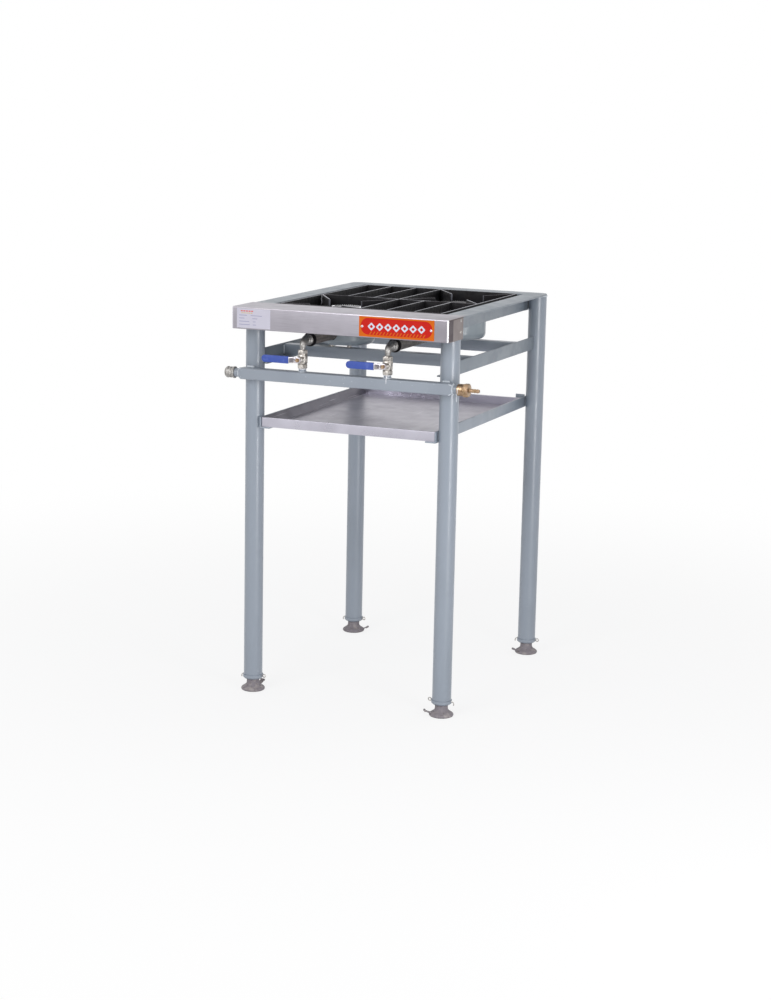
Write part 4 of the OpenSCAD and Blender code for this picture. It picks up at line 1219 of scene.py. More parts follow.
@dataclass
class TopFrame:
    """The mitred angle frame on the legs, with its corners rounded to the legs."""

    corner: float = 21.0
    end_flange: float = 51.0
    side_flange: float = 47.0
    web: float = 39.0
    thickness: float = 4.0
    root: float = 4.0
    arris: float = 1.2
    overrun: float = 31.0
    turns: tuple[str, ...] = ("front", "right", "rear", "left")

    def section(self, top: float, flange: float) -> list[Point]:
        """Draws a rail's section.

        Args:
            top: The height of its top face.
            flange: How far its upper flange reaches in.

        Returns:
            Its outline, as distance in from the frame's edge and height.
        """
        inner = flange - self.thickness
        corners = [(0, top - self.thickness), (inner, top - self.thickness), (inner, top - self.web),
                   (flange, top - self.web), (flange, top), (0, top)]
        return rounded(corners, [self.arris, self.root] + [self.arris] * 4)

    def rail(self, node: str, quarter: int, box: Span) -> None:
        """Builds one rail from mitre to mitre.

        Args:
            node: The rail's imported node.
            quarter: How many quarter turns it stands from the front.
            box: The whole frame's box.
        """
        half = [side / 2 for side in (box.size.x, box.size.y)]
        flanges = [self.end_flange, self.side_flange]
        if quarter % 2:
            half.reverse()
            flanges.reverse()
        turn = Matrix.Rotation(quarter * math.pi / 2, 3, "Z")
        section = self.section(box.high.z, flanges[0])
        rings = []
        for end, angles in ((-1, range(45, -1, -9)), (1, range(0, 46, 9))):
            for angle in map(math.radians, angles):
                ring = []
                for inset, height in section:
                    reach = self.corner - inset
                    if reach > 0:
                        u = half[0] - self.corner + reach * math.sin(angle)
                        v = half[1] - self.corner + reach * math.cos(angle)
                    else:
                        u, v = half[0] - inset * flanges[1] / flanges[0], half[1] - inset
                    point = turn @ Vector((end * u, -v, 0))
                    ring.append(Vector((box.middle.x + point.x, box.middle.y + point.y, height)))
                rings.append(ring)
        shape = Shape(f"{node}_rolled")
        shape.loft(rings)
        if quarter % 2:
            self.run_on(shape, box, 1 if node.endswith("right") else -1)
        # The top rails take the darker copy of the enamel, as painted shade.
        shape.dress(STAND, "paint", [SHADED_ENAMEL], [node])

    def run_on(self, shape: Shape, box: Span, side: int) -> None:
        """Runs a side rail's web on past both corners of the opening.

        Args:
            shape: The piece that it is added to.
            box: The whole frame's box.
            side: 1 on the right, -1 on the left.
        """
        outer = box.middle.x + side * (box.size.x / 2 - self.side_flange + self.thickness)
        inner = outer - side * self.thickness
        high = box.high.z - self.thickness
        for end in (-1, 1):
            start = box.middle.y + end * (box.size.y / 2 - self.end_flange - 1)
            stop = start + end * self.overrun
            shape.block((min(inner, outer), min(start, stop), box.high.z - self.web),
                        (max(inner, outer), max(start, stop), high))

    def build(self) -> None:
        """Builds the four rails."""
        nodes = [f"top_rail_{turn}" for turn in self.turns]
        box = Span.of(*nodes)
        for quarter, node in enumerate(nodes):
            self.rail(node, quarter, box)


@dataclass
class Steelwork:
    """The painted angles under the top frame."""

    rolled_edge: float = 0.9
    cut_edge: float = 0.5
    shaded: tuple[str, ...] = ("mid_rail_left", "mid_rail_right")
    rolled: tuple[str, ...] = ("cross_rail_front", "cross_rail_rear", "tray_runner_left",
                               "tray_runner_right")
    cut: tuple[str, ...] = ("tray_stops", "grate_lugs")

    def build(self) -> None:
        """Builds the rails, runners, stops and lugs, with the edges that rolling or the saw left."""
        # The mid rails take the darker copy of the enamel, as painted shade.
        for nodes, paint, edge in ((self.shaded, SHADED_ENAMEL, self.rolled_edge),
                                   (self.rolled, PAINT, self.rolled_edge),
                                   (self.cut, PAINT, self.cut_edge)):
            for node in nodes:
                shape = Shape.of_node(node)
                shape.soften(edge)
                shape.dress(STAND, "paint", [paint], [node])


@dataclass
class Welds:
    """The weld beads that hold the steelwork together, painted with it in a lighter grey that is a painted
    highlight.
    """

    leg_bead: float = 5.0
    rail_bead: float = 4.6
    ring_bead: float = 3.4
    pinch_bead: float = 2.2
    nipple_bead: float = 2.6
    taper: float = 7.0
    neck: float = 7.6
    shape: Shape = field(default_factory=lambda: Shape("weld_beads"))

    def manifold_to_legs(self) -> None:
        """Lays a bead above and below the manifold across the front of each front leg."""
        pipe = Span.of("gas_manifold")
        for side in ("left", "right"):
            leg = Span.of(f"leg_front_{side}").middle
            for height, lift in ((pipe.high.z, 1.0), (pipe.low.z, -1.0)):
                start = Vector((leg.x - 9, pipe.high.y - 2.2, height + lift))
                path = [start, start + Vector((9, 0.9, 0)), start + Vector((18, 0, 0))]
                self.shape.bead(path, self.leg_bead)

    def rails_to_legs(self) -> None:
        """Lays a bead up each end of the mid rails and runners where they meet the legs."""
        for side in Side:
            name = side.name.lower()
            rail = Span.of(f"mid_rail_{name}")
            outer = rail.high.x if side is Side.RIGHT else rail.low.x
            for end in (rail.low.y, rail.high.y):
                foot = Vector((outer, end, rail.low.z + 1))
                self.shape.bead([foot, foot + Vector((0, 0, rail.size.z - 2))], self.rail_bead)
            runner = Span.of(f"tray_runner_{name}")
            outer = runner.high.x if side is Side.RIGHT else runner.low.x
            for row in ("front", "rear"):
                leg = Span.of(f"leg_{row}_{name}").middle
                for offset in (-5.5, 5.5):
                    foot = Vector((outer + side.value * 0.6, leg.y + offset, runner.low.z + 1))
                    self.shape.bead([foot, foot + Vector((0, 0, runner.size.z - 3))], self.ring_bead)

    def cross_rails(self) -> None:
        """Lays a bead up each end of the two rails that carry the burners."""
        for row in ("front", "rear"):
            rail = Span.of(f"cross_rail_{row}")
            for end in (rail.low.x + 1.2, rail.high.x - 1.2):
                foot = Vector((end, rail.low.y, rail.low.z + 1.5))
                self.shape.bead([foot, foot + Vector((0, 0, rail.size.z - 3))], self.ring_bead)

    def leg_tops(self) -> None:
        """Lays a ring round each leg's top, under the frame."""
        for side in ("left", "right"):
            for row in ("front", "rear"):
                leg = Span.of(f"leg_{row}_{side}")
                centre = Vector((leg.middle.x, leg.middle.y, leg.high.z - 0.8))
                self.shape.bead(arc(centre, leg.size.x / 2 - 0.2, 0, 360, steps=40), self.ring_bead)

    def manifold_ends(self) -> None:
        """Lays beads down the manifold's pinched ends and round its necks."""
        pipe = Span.of("gas_manifold")
        half = pipe.size.z / 2 - 0.8
        for side, fitting in ((Side.LEFT, "manifold_cap"), (Side.RIGHT, "inlet_bush")):
            span = Span.of(fitting)
            end = (span.high.x + 11) if side is Side.LEFT else (span.low.x - 11)
            centre = Vector((end, pipe.middle.y, pipe.middle.z))
            inward = -side.value * self.taper
            for up in (-1, 1):
                for out in (-1, 1):
                    root = centre + Vector((inward, out * half, up * half))
                    tip = centre + Vector((0, out * self.neck, up * self.neck))
                    self.shape.bead([root, tip], self.pinch_bead)
            self.shape.bead(arc(centre, 10.0, 0, 360, Axis.X, 28), self.ring_bead)

    def nipples(self) -> None:
        """Lays a ring round the foot of each nipple on the manifold."""
        top = Span.of("gas_manifold").high.z
        for side in ("left", "right"):
            valve = Span.of(f"{side}_valve_body").middle
            centre = Vector((valve.x, Span.of("gas_manifold").middle.y, top + 0.4))
            self.shape.bead(arc(centre, 8.6, 0, 360, steps=28), self.nipple_bead)

    def tacks(self) -> None:
        """Tacks the right web to the rear leg, low down."""
        leg, rail = Span.of("leg_rear_right"), Span.of("top_rail_right")
        start = Vector((leg.low.x + 0.5, leg.middle.y - 7, rail.low.z + 1.5))
        path = [start, start + Vector((3, -7, 0.5)), start + Vector((2, -12, 0.5))]
        self.shape.bead(path, self.ring_bead)

    def build(self) -> None:
        """Builds all the beads as one piece."""
        self.tacks()
        self.manifold_to_legs()
        self.rails_to_legs()
        self.cross_rails()
        self.leg_tops()
        self.manifold_ends()
        self.nipples()
        self.shape.dress(STAND, "paint", [WELD_HIGHLIGHT_PAINT])


@dataclass
class Feet:
    """The rubber suction feet under the legs, and the wire pins that hold them."""

    foot_radius: float = 27.0
    neck_radius: float = 14.5
    plug_radius: float = 7.0
    tab_reach: float = 38.0
    tab_width: float = 10.0
    wire: float = 1.15
    eye: float = 3.4
    turns: tuple[tuple[str, float, int], ...] = (
        ("front_left", 80.0, 1), ("rear_left", 0.0, 1),
        ("front_right", -145.0, -1), ("rear_right", -125.0, 1))

    def foot(self, shape: Shape, centre: Vector, height: float, turn: float) -> None:
        """Turns a suction cup and runs its pull tab out.

        Args:
            shape: The piece that it is added to.
            centre: The leg's centre on the floor.
            height: The height of the foot's neck.
            turn: The direction of the tab, in degrees.
        """
        r, neck = self.foot_radius, self.neck_radius
        shape.turned(Axis.Z, centre, [
            (0.01, 5.0), (7.0, 5.0), (r - 6.5, 0.35), (r - 5.4, 0), (r - 3.2, 0), (r - 1.4, 0.8),
            (r - 0.3, 2.2), (r, 3.8), (r - 0.4, 5.4), (r - 1.8, 7.0), (r - 4.6, 8.9), (r - 8.0, 11.0),
            (neck + 1.8, 13.6), (neck + 0.5, 15.4), (neck, 17.2), (neck - 0.3, 21.5),
            (neck, height - 1.0), (neck - 0.5, height), (self.plug_radius, height),
            (self.plug_radius, height + 13), (self.plug_radius - 1, height + 14), (0.01, height + 14)], 56)
        out = Vector((math.cos(math.radians(turn)), math.sin(math.radians(turn)), 0))
        across = Vector((-out.y, out.x, 0))
        strip = [(r - 8, 7.4), (r - 3, 8.2), (r + 2, 9.6), (r + 6, 11.6), (self.tab_reach - 1, 13.6)]
        half = self.tab_width / 2
        ring = [(-half, -1.2), (half, -1.2), (half + 0.5, 0), (half, 1.2), (-half, 1.2), (-half - 0.5, 0)]
        shape.loft([[centre + out * reach + across * u + Vector((0, 0, lift + v)) for u, v in ring]
                    for reach, lift in strip])
        tip = centre + out * (self.tab_reach - 0.5) + Vector((0, 0, 13.8))
        ends = [tip + across * k * (half + 0.6) for k in (-1, -0.9, 0.9, 1)]
        shape.pipe(ends, [1.6, 2.5, 2.5, 1.6], 14)

    def pin(self, shape: Shape, centre: Vector, facing: int) -> None:
        """Bends a wire pin through a leg's end.

        Args:
            shape: The piece that it is added to.
            centre: Where the pin crosses the leg's axis.
            facing: 1 if its eye is on the right, -1 if it is on the left.
        """
        reach = Span.of("leg_rear_right").size.x / 2 + 3.5
        eye = centre + Vector((reach + self.eye, 0, 0))
        tail = centre - Vector((reach, 0, 0))
        hook = ((-3.6, 0, -8.2), (-4.4, 0, -6.6), (-4.2, 0, -4.4), (-3.2, 0, -2.0), (-1.5, 0, -0.4))
        path = [tail + Vector(step) for step in hook]
        path += [tail, centre, centre + Vector((reach - 1, 0, 0))]
        path += [eye + Vector((-math.cos(a) * self.eye, 0, math.sin(a) * self.eye))
                 for a in (math.radians(step) for step in range(0, 341, 20))]
        if facing < 0:
            path = [Vector((2 * centre.x - p.x, p.y, p.z)) for p in path]
        shape.pipe(path, [self.wire] * len(path), 8)

    def build(self) -> None:
        """Builds four feet and four pins."""
        feet, pins = Shape("suction_feet_moulded"), Shape("foot_pins_bent")
        height = Span.of("leg_end_rings").low.z
        pin_height = Span.of("foot_split_pins").high.z - self.eye
        for corner, turn, facing in self.turns:
            leg = Span.of(f"leg_{corner}").middle
            self.foot(feet, Vector((leg.x, leg.y, 0)), height, turn)
            self.pin(pins, Vector((leg.x, leg.y, pin_height)), facing)
        feet.dress(STAND, "rubber", [RUBBER], ["suction_feet"])
        pins.dress(STAND, "plated_steel", [ZINC], ["foot_split_pins"])


# ---------------------------------------------------------------- fascia


class Stretch(Enum):
    """A stretch of the fascia's sheet, as the place of its finish."""

    FACE = 0
    RETURN = 1
    BEND = 2
    FOLD = 3


@dataclass
class Fascia:
    """The brushed stainless front with its plate, label and rivets."""

    side_depth: float = 88.0
    lip: float = 14.0
    bend: float = 2.0
    corner: float = 3.4
    sheet: float = 1.0
    tab_depth: float = 24.0
    tab_start: float = 3.8
    tab_proud: float = 0.5
    ink: float = 0.12
    head_radius: float = 2.9

    def walk(self, box: Span) -> list[tuple[Vector, Vector]]:
        """Walks round the panel in plan, from one return's free end by way of the front to the other's.

        Args:
            box: The panel's box.

        Returns:
            Each point, with the way its top and bottom edges round off; nowhere on the returns.
        """
        r = self.corner
        x0, x1, y0 = box.low.x + self.tab_proud, box.high.x - self.tab_proud, box.low.y
        steps: list[tuple[Vector, Vector]] = []
        for x, inward, angles in ((x0, r, range(180, 271, 15)), (x1, -r, range(270, 361, 15))):
            straight = [(Vector((x, y0 + depth, 0)), Vector()) for depth in (self.side_depth, r + 3)]
            corner = []
            for angle in map(math.radians, angles):
                out = Vector((math.cos(angle), math.sin(angle), 0))
                corner.append((Vector((x + inward, y0 + r, 0)) + out * r, -out))
            steps += straight + corner if inward > 0 else corner + straight[::-1]
        return steps

    def panel(self) -> None:
        """Folds the panel: a top, a front with round folds, a bottom lip and a return at each end."""
        box = Span.of("fascia_panel")
        r, z0, z1 = self.bend, box.low.z, box.high.z
        steps = self.walk(box)
        levels = []
        for angle in map(math.radians, range(90, -1, -15)):
            levels.append((z0 + r - r * math.sin(angle), r - r * math.cos(angle)))
        levels += [(z0 + z1 - height, inset) for height, inset in reversed(levels)]
        lip = box.low.y + self.lip
        rows = [[Vector((p.x + n.x * r, lip if n.length else p.y, z0)) for p, n in steps]]
        rows += [[p + n * inset + Vector((0, 0, height)) for p, n in steps] for height, inset in levels]
        shape = Shape("fascia_panel_folded")
        half = len(steps) // 2
        for k, (lower, upper) in enumerate(zip(rows, rows[1:])):
            for i in range(len(steps) - 1):
                if k == 0 or min(i, len(steps) - 2 - i) < 2:
                    stretch = Stretch.RETURN
                elif i != half - 1:
                    stretch = Stretch.BEND
                else:
                    stretch = Stretch.FACE if k <= len(levels) // 2 else Stretch.FOLD
                shape.facet([lower[i], lower[i + 1], upper[i + 1], upper[i]], stretch.value)
        rear = [Vector((p.x, box.high.y, z1)) for p in (rows[-1][-1], rows[-1][0])]
        shape.facet(rows[-1] + rear, Stretch.FACE.value)
        shape.thicken(self.sheet)
        # The returns and lip take a darker brown painted reflection; the corner bends and the top fold take
        # lighter painted highlights.
        shape.dress(STAND, "stainless", [FRONT_STEEL, RETURN_REFLECTION_STEEL, BEND_HIGHLIGHT_STEEL, FOLD_HIGHLIGHT_STEEL],
                    ["fascia_panel"])

    def tabs(self) -> None:
        """Wraps a dark scored tab round each corner, with a strip of painted shadow under the top's edge.
        """
        box = Span.of("fascia_panel")
        y0, z0, z1 = box.low.y, box.low.z, box.high.z
        shape = Shape("fascia_corner_tabs")
        skin = self.tab_proud + 0.2
        start, line = y0 + self.tab_start, z1 - 2.4
        for low_x, high_x in ((box.low.x, box.low.x + skin), (box.high.x - skin, box.high.x)):
            shape.block((low_x, start, z0 + 1.6), (high_x, start + self.tab_depth, line))
            # This strip is painted shadow under the top sheet's edge.
            shape.block((low_x, start, line), (high_x, y0 + self.side_depth, z1 - 1.2))
        shape.soften(0.25, 1)
        shape.dress(STAND, "stainless", [TAB_AND_SHADOW_STEEL])

    def rivets(self) -> None:
        """Sets two blind rivets in each side and one at each end of the plate."""
        box, plate = Span.of("fascia_panel"), Span.of("name_plate")
        heads = Span.of("fascia_rivets")
        leg = Span.of("leg_front_right").middle
        reach = self.head_radius
        hole = [(0.01, 0.5), (reach * 0.3, 0.45), (reach * 0.36, 1.05)]
        head = hole + [(reach * 0.5, 1.15), (reach * 0.75, 0.95), (reach * 0.92, 0.5), (reach, 0.05),
                       (reach, -0.4), (0.01, -0.4)]
        shape = Shape("fascia_rivets_domed")
        for side in Side:
            face = heads.high.x - 1.2 if side is Side.RIGHT else heads.low.x + 1.2
            for drop in (8.0, box.size.z / 2 + 8.0):
                place = Vector((face, leg.y, box.high.z - drop))
                # The hollow in each rivet's head is darkened as painted shade.
                for profile, slot in ((head, 0), (hole + [(0.01, 0.6)], 1)):
                    shape.turned(Axis.X, place, [(r, h * side.value) for r, h in profile], 24, slot=slot)
        # The plate's rivet heads take the bend's painted highlight.
        for end in (plate.low.x + 7, plate.high.x - 7):
            place = Vector((end, plate.low.y, plate.middle.z))
            for profile, slot in ((head, 2), (hole + [(0.01, 0.6)], 1)):
                shape.turned(Axis.Y, place, [(r, -h) for r, h in profile], 24, slot=slot)
        shape.dress(STAND, "plated_steel", [ZINC, TAB_AND_SHADOW_STEEL, BEND_HIGHLIGHT_STEEL], ["fascia_rivets"])

    def inlay(self, shape: Shape, outline: Sequence[Point], face: float, level: int, slot: int) -> None:
        """Lays a flat shape of ink on a plate's face.

        Args:
            shape: The piece that it is added to.
            outline: The shape's outline, as x and z.
            face: The y of the plate's face.
            level: How many layers of ink it lies on.
            slot: The place of its finish in the piece's list.
        """
        proud = self.ink * (level + 1)
        shape.prism(outline, Axis.Y, face - proud, face + 0.2, slot)

    def plate(self) -> None:
        """Builds the printed plate: a red field, a row of pale lozenges and slanting stripes."""
        box = Span.of("name_plate")
        face, mid = box.low.y, box.middle
        shape = Shape("name_plate_printed")
        sheet = shifted(box_outline(box.size.x, box.size.z, 1.2), mid.x, mid.z)
        shape.prism(sheet, Axis.Y, face, box.high.y)
        field_w, field_h = box.size.x - 8.5, box.size.z - 7.5
        field = box_outline(field_w, field_h, field_h * 0.46, 8)
        self.inlay(shape, shifted(field, mid.x, mid.z + 0.8), face, 0, 1)
        count, pitch, reach_x, reach_z = 7, 19.0, 9.0, 8.8
        row_z = mid.z + 0.6
        for k in range(count):
            x = mid.x + (k - (count - 1) / 2) * pitch
            lozenge = rounded([(-reach_x, 0), (0, -reach_z), (reach_x, 0), (0, reach_z)], [1.8] * 4)
            self.inlay(shape, shifted(lozenge, x, row_z), face, 1, 2)
            self.inlay(shape, shifted([(u * 0.45, v * 0.45) for u, v in lozenge], x, row_z), face, 2, 1)
        stripes, stripe_w, slant, low_z, high_z = 17, 2.6, 4.5, mid.z - 16.5, mid.z - 9.5
        for k in range(stripes):
            x = mid.x + (k - (stripes - 1) / 2) * 7.6
            stripe = [(x - stripe_w / 2, low_z), (x + stripe_w / 2, low_z),
                      (x + stripe_w / 2 + slant, high_z), (x - stripe_w / 2 + slant, high_z)]
            self.inlay(shape, rounded(stripe, [0.6] * 4), face, 1, 0)
        shape.dress(STAND, "printed_plate", [ORANGE_INK, RED_INK, PALE_INK], ["name_plate"])

    def label(self) -> None:
        """Builds the pale label, with dashes of colour over faint ruled bars."""
        box = Span.of("data_label")
        face, left, top = box.low.y, box.low.x, box.high.z
        shape = Shape("data_label_ruled")
        shape.prism(shifted(box_outline(box.size.x, box.size.z, 1.0), box.middle.x, box.middle.z),
                    Axis.Y, face, box.high.y)
        dashes = ((5.2, 4.8, 2.6, 6.2, 5, 2), (9.4, 3.2, 1.7, 4.6, 6, 3))
        for drop, wide, high, pitch, count, slot in dashes:
            for k in range(count):
                dash = box_outline(wide, high, 0.6)
                at = left + 24 + (k - (count - 1) / 2) * pitch
                self.inlay(shape, shifted(dash, at, top - drop), face, -0.5, slot)
        rows = ((14.6, 19, 27), (21.0, 13, 12), (27.8, 25, 7), (34.6, 26, 8))
        for drop, short, wide in rows:
            for start, length in ((5, short), (40 - wide / 4, wide)):
                bar = box_outline(length, 1.2, 0.5)
                self.inlay(shape, shifted(bar, left + start + length / 2, top - drop), face, -0.5, 1)
        shape.dress(STAND, "label", [LABEL_FILM, LABEL_BLUE, LABEL_RED, LABEL_YELLOW], ["data_label"])

    def build(self) -> None:
        """Builds the panel, the tabs, the plate, the label and the rivets."""
        self.panel()
        self.tabs()
        self.plate()
        self.label()
        self.rivets()


# ---------------------------------------------------------------- gas line


@dataclass
class Manifold:
    """The square gas pipe with its pinched ends, nipples, cap and inlet."""

    taper: float = 7.0
    pinched: float = 11.2
    corner: float = 2.6
    neck: float = 9.5
    neck_gap: float = 11.0
    neck_grip: float = 8.0
    nipple: float = 8.0
    thread_grip: float = 6.0

    def pipe(self) -> None:
        """Draws the square pipe down to a round neck at each end."""
        box = Span.of("gas_manifold")
        mid, width = box.middle, box.size.z
        cap, bush = Span.of("manifold_cap"), Span.of("inlet_bush")
        left, right = cap.high.x + self.neck_gap, bush.low.x - self.neck_gap
        stations = [(left, self.pinched * 2, self.pinched), (left + self.taper, width, self.corner),
                    (right - self.taper, width, self.corner), (right, self.pinched * 2, self.pinched)]
        shape = Shape("gas_manifold_welded")
        shape.loft([[Vector((x, mid.y + u, mid.z + v)) for u, v in box_outline(size, size, radius, 11)]
                    for x, size, radius in stations])
        for start, end in ((left - self.neck_gap - self.neck_grip, left + 1),
                           (right - 1, right + self.neck_gap + self.neck_grip)):
            shape.turned(Axis.X, Vector((start, mid.y, mid.z)),
                         [(self.neck - 1, 0), (self.neck, 1), (self.neck, end - start - 1),
                          (self.neck - 1, end - start)], 40)
        shape.dress(STAND, "paint", [SPATTERED_PAINT], ["gas_manifold"])

    def nipples(self) -> None:
        """Turns the nipples, with a collar of thread tape under each fitting."""
        box = Span.of("valve_nipples")
        top = Span.of("left_valve_body", "right_valve_body").low.z
        shape = Shape("valve_nipples_taped")
        for side in ("left", "right"):
            valve = Span.of(f"{side}_valve_body").middle
            foot = Vector((valve.x, box.middle.y, box.low.z))
            neck = top - box.low.z
            r = self.nipple
            shape.turned(Axis.Z, foot, [(4.5, 0), (r, 0), (r, neck - 2.4), (r - 0.8, neck - 1.6),
                                        (r - 1, neck + self.thread_grip), (4.5, neck + self.thread_grip)],
                         40, loop=True)
            rings = []
            for step, (grow, height) in enumerate(((-1.0, -2.5), (0.35, -2.2), (0.1, -1.5), (0.6, -0.8),
                                                   (0.3, 0.1), (-1.0, 0.3))):
                ring = []
                for k in range(40):
                    angle = 2 * math.pi * k / 40
                    reach = r + grow + 0.25 * math.sin(5 * angle + step) + 0.15 * math.sin(9 * angle)
                    ring.append(foot + Vector((reach * math.cos(angle), reach * math.sin(angle),
                                               neck + height + 0.2 * math.sin(3 * angle))))
                rings.append(ring)
            shape.loft(rings, 1)
        shape.dress(STAND, "paint", [PAINT, PTFE], ["valve_nipples"])

    def sealant(self) -> None:
        """Leaves a run of white sealant under the right valve and a torn strand at the inlet."""
        pipe = Span.of("gas_manifold")
        valve, bush = Span.of("right_valve_body"), Span.of("inlet_bush")
        front = pipe.low.y - 0.2
        x = valve.middle.x + 1.5
        run = [Vector((x, pipe.middle.y - self.nipple - 0.4, valve.low.z - 0.5)),
               Vector((x + 0.2, pipe.middle.y - self.nipple - 1.2, pipe.high.z + 1.2)),
               Vector((x + 0.3, front + 1.5, pipe.high.z + 0.3)),
               Vector((x + 0.4, front, pipe.high.z - 1.6)), Vector((x + 0.5, front, pipe.high.z - 6)),
               Vector((x + 0.5, front, pipe.high.z - 10))]
        shape = Shape("sealant_runs")
        shape.pipe(run, [1.7, 1.5, 1.1, 0.8, 0.7, 0.4], 10)
        start = Vector((bush.low.x + 3.2, bush.low.y - 0.2, bush.middle.z + 5))
        strand = [start + Vector((0.9 * math.sin(k * 0.7), -0.3 - 0.08 * k, -3.1 * k)) for k in range(10)]
        shape.pipe(strand, [0.45 + 0.12 * math.sin(k) for k in range(10)], 6)
        shape.dress(STAND, "ptfe", [PTFE])

    def cap(self) -> None:
        """Turns the galvanised cap with its beaded rim and bands."""
        box = Span.of("manifold_cap")
        rim = box.size.z / 2
        mouth = Vector((box.high.x, box.middle.y, box.middle.z))
        length = box.size.x
        profile = [(self.neck, 0), (rim - 0.5, 0.1), (rim, 0.7), (rim, 3.4), (rim - 0.4, 4.0),
                   (rim - 1.3, 4.5), (rim - 1.4, 8.2), (rim - 0.7, 8.9), (rim - 0.7, 10.8),
                   (rim - 1.4, 11.5), (rim - 1.3, 15.0), (rim - 0.4, 15.8), (rim - 0.3, 18.2),
                   (rim - 1.2, 20.2), (rim - 3.2, 22.4), (rim - 6.5, length - 0.3), (0.01, length)]
        shape = Shape("manifold_cap_cast")
        shape.turned(Axis.X, mouth, [(r, -h) for r, h in profile] + [(0.01, -6), (self.neck, -6)], 56)
        for k in range(8):
            angle = math.radians(45 * k + 12)
            at = mouth + Vector((-2.0, (rim - 0.7) * math.cos(angle), (rim - 0.7) * math.sin(angle)))
            shape.pipe([at + Vector((-1.6, 0, 0)), at + Vector((-1.2, 0, 0)), at + Vector((1.2, 0, 0)),
                        at + Vector((1.7, 0, 0))], [0.5, 1.1, 1.1, 0.5], 8)
        shape.soften(0.2, 1, 60)
        shape.dress(STAND, "galvanised_iron", [GALVANISED], ["manifold_cap"])

    def inlet(self) -> None:
        """Turns the brass bush with its hexagon, and the ringed hose barb."""
        box = Span.of("inlet_bush")
        mouth = Vector((box.low.x, box.middle.y, box.middle.z))
        r, barrel, hexagon, flats = 13.0, 13.0, 12.0, 27.0
        bush = Shape("inlet_bush_turned")
        bush.turned(Axis.X, mouth, [(self.neck, 0), (r - 0.8, 0), (r, 0.8), (r, barrel - 1.2),
                                    (r - 0.6, barrel - 0.6), (r - 0.6, barrel + 0.1), (5.6, barrel + 0.1),
                                    (5.6, barrel - 2), (self.neck, 8)], 60, loop=True)
        tip = flats / 2 / math.cos(math.pi / 6)
        start = barrel + hexagon
        bush.turned(Axis.X, mouth, [(5.5, barrel), (flats / 2 - 0.3, barrel), (tip + 0.1, barrel + 1.6),
                                    (tip + 0.1, start - 1.6), (flats / 2 - 0.3, start), (5.5, start)],
                    72, flats, 90, loop=True)
        bush.dress(STAND, "brass", [BRASS], ["inlet_bush"])
        tail = Span.of("hose_barb")
        end = tail.high.x - mouth.x
        root, crest, bore = 3.5, 4.6, 2.0
        pitch = (end - start) / 4
        profile = [(bore, barrel + 1), (5.4, barrel + 1), (5.4, start + 0.6), (4.4, start + 1.2),
                   (root, start + 2.2)]
        for k in range(3):
            at = start + pitch * (k + 1)
            profile += [(root, at - 0.2), (crest - 0.15, at + 0.15), (crest, at + 0.7),
                        (crest - 0.2, at + 1.3), (root + 0.25, at + pitch * 0.72),
                        (root, at + pitch * 0.86)]
        profile[-2:] = [(root + 0.1, end - 0.5), (root - 0.5, end)]
        profile.append((bore, end))
        barb = Shape("hose_barb_turned")
        barb.turned(Axis.X, mouth, profile, 40, loop=True)
        barb.dress(STAND, "brass", [BRASS], ["hose_barb"])

    def build(self) -> None:
        """Builds the manifold and what is screwed to it."""
        self.pipe()
        self.nipples()
        self.sealant()
        self.cap()
        self.inlet()


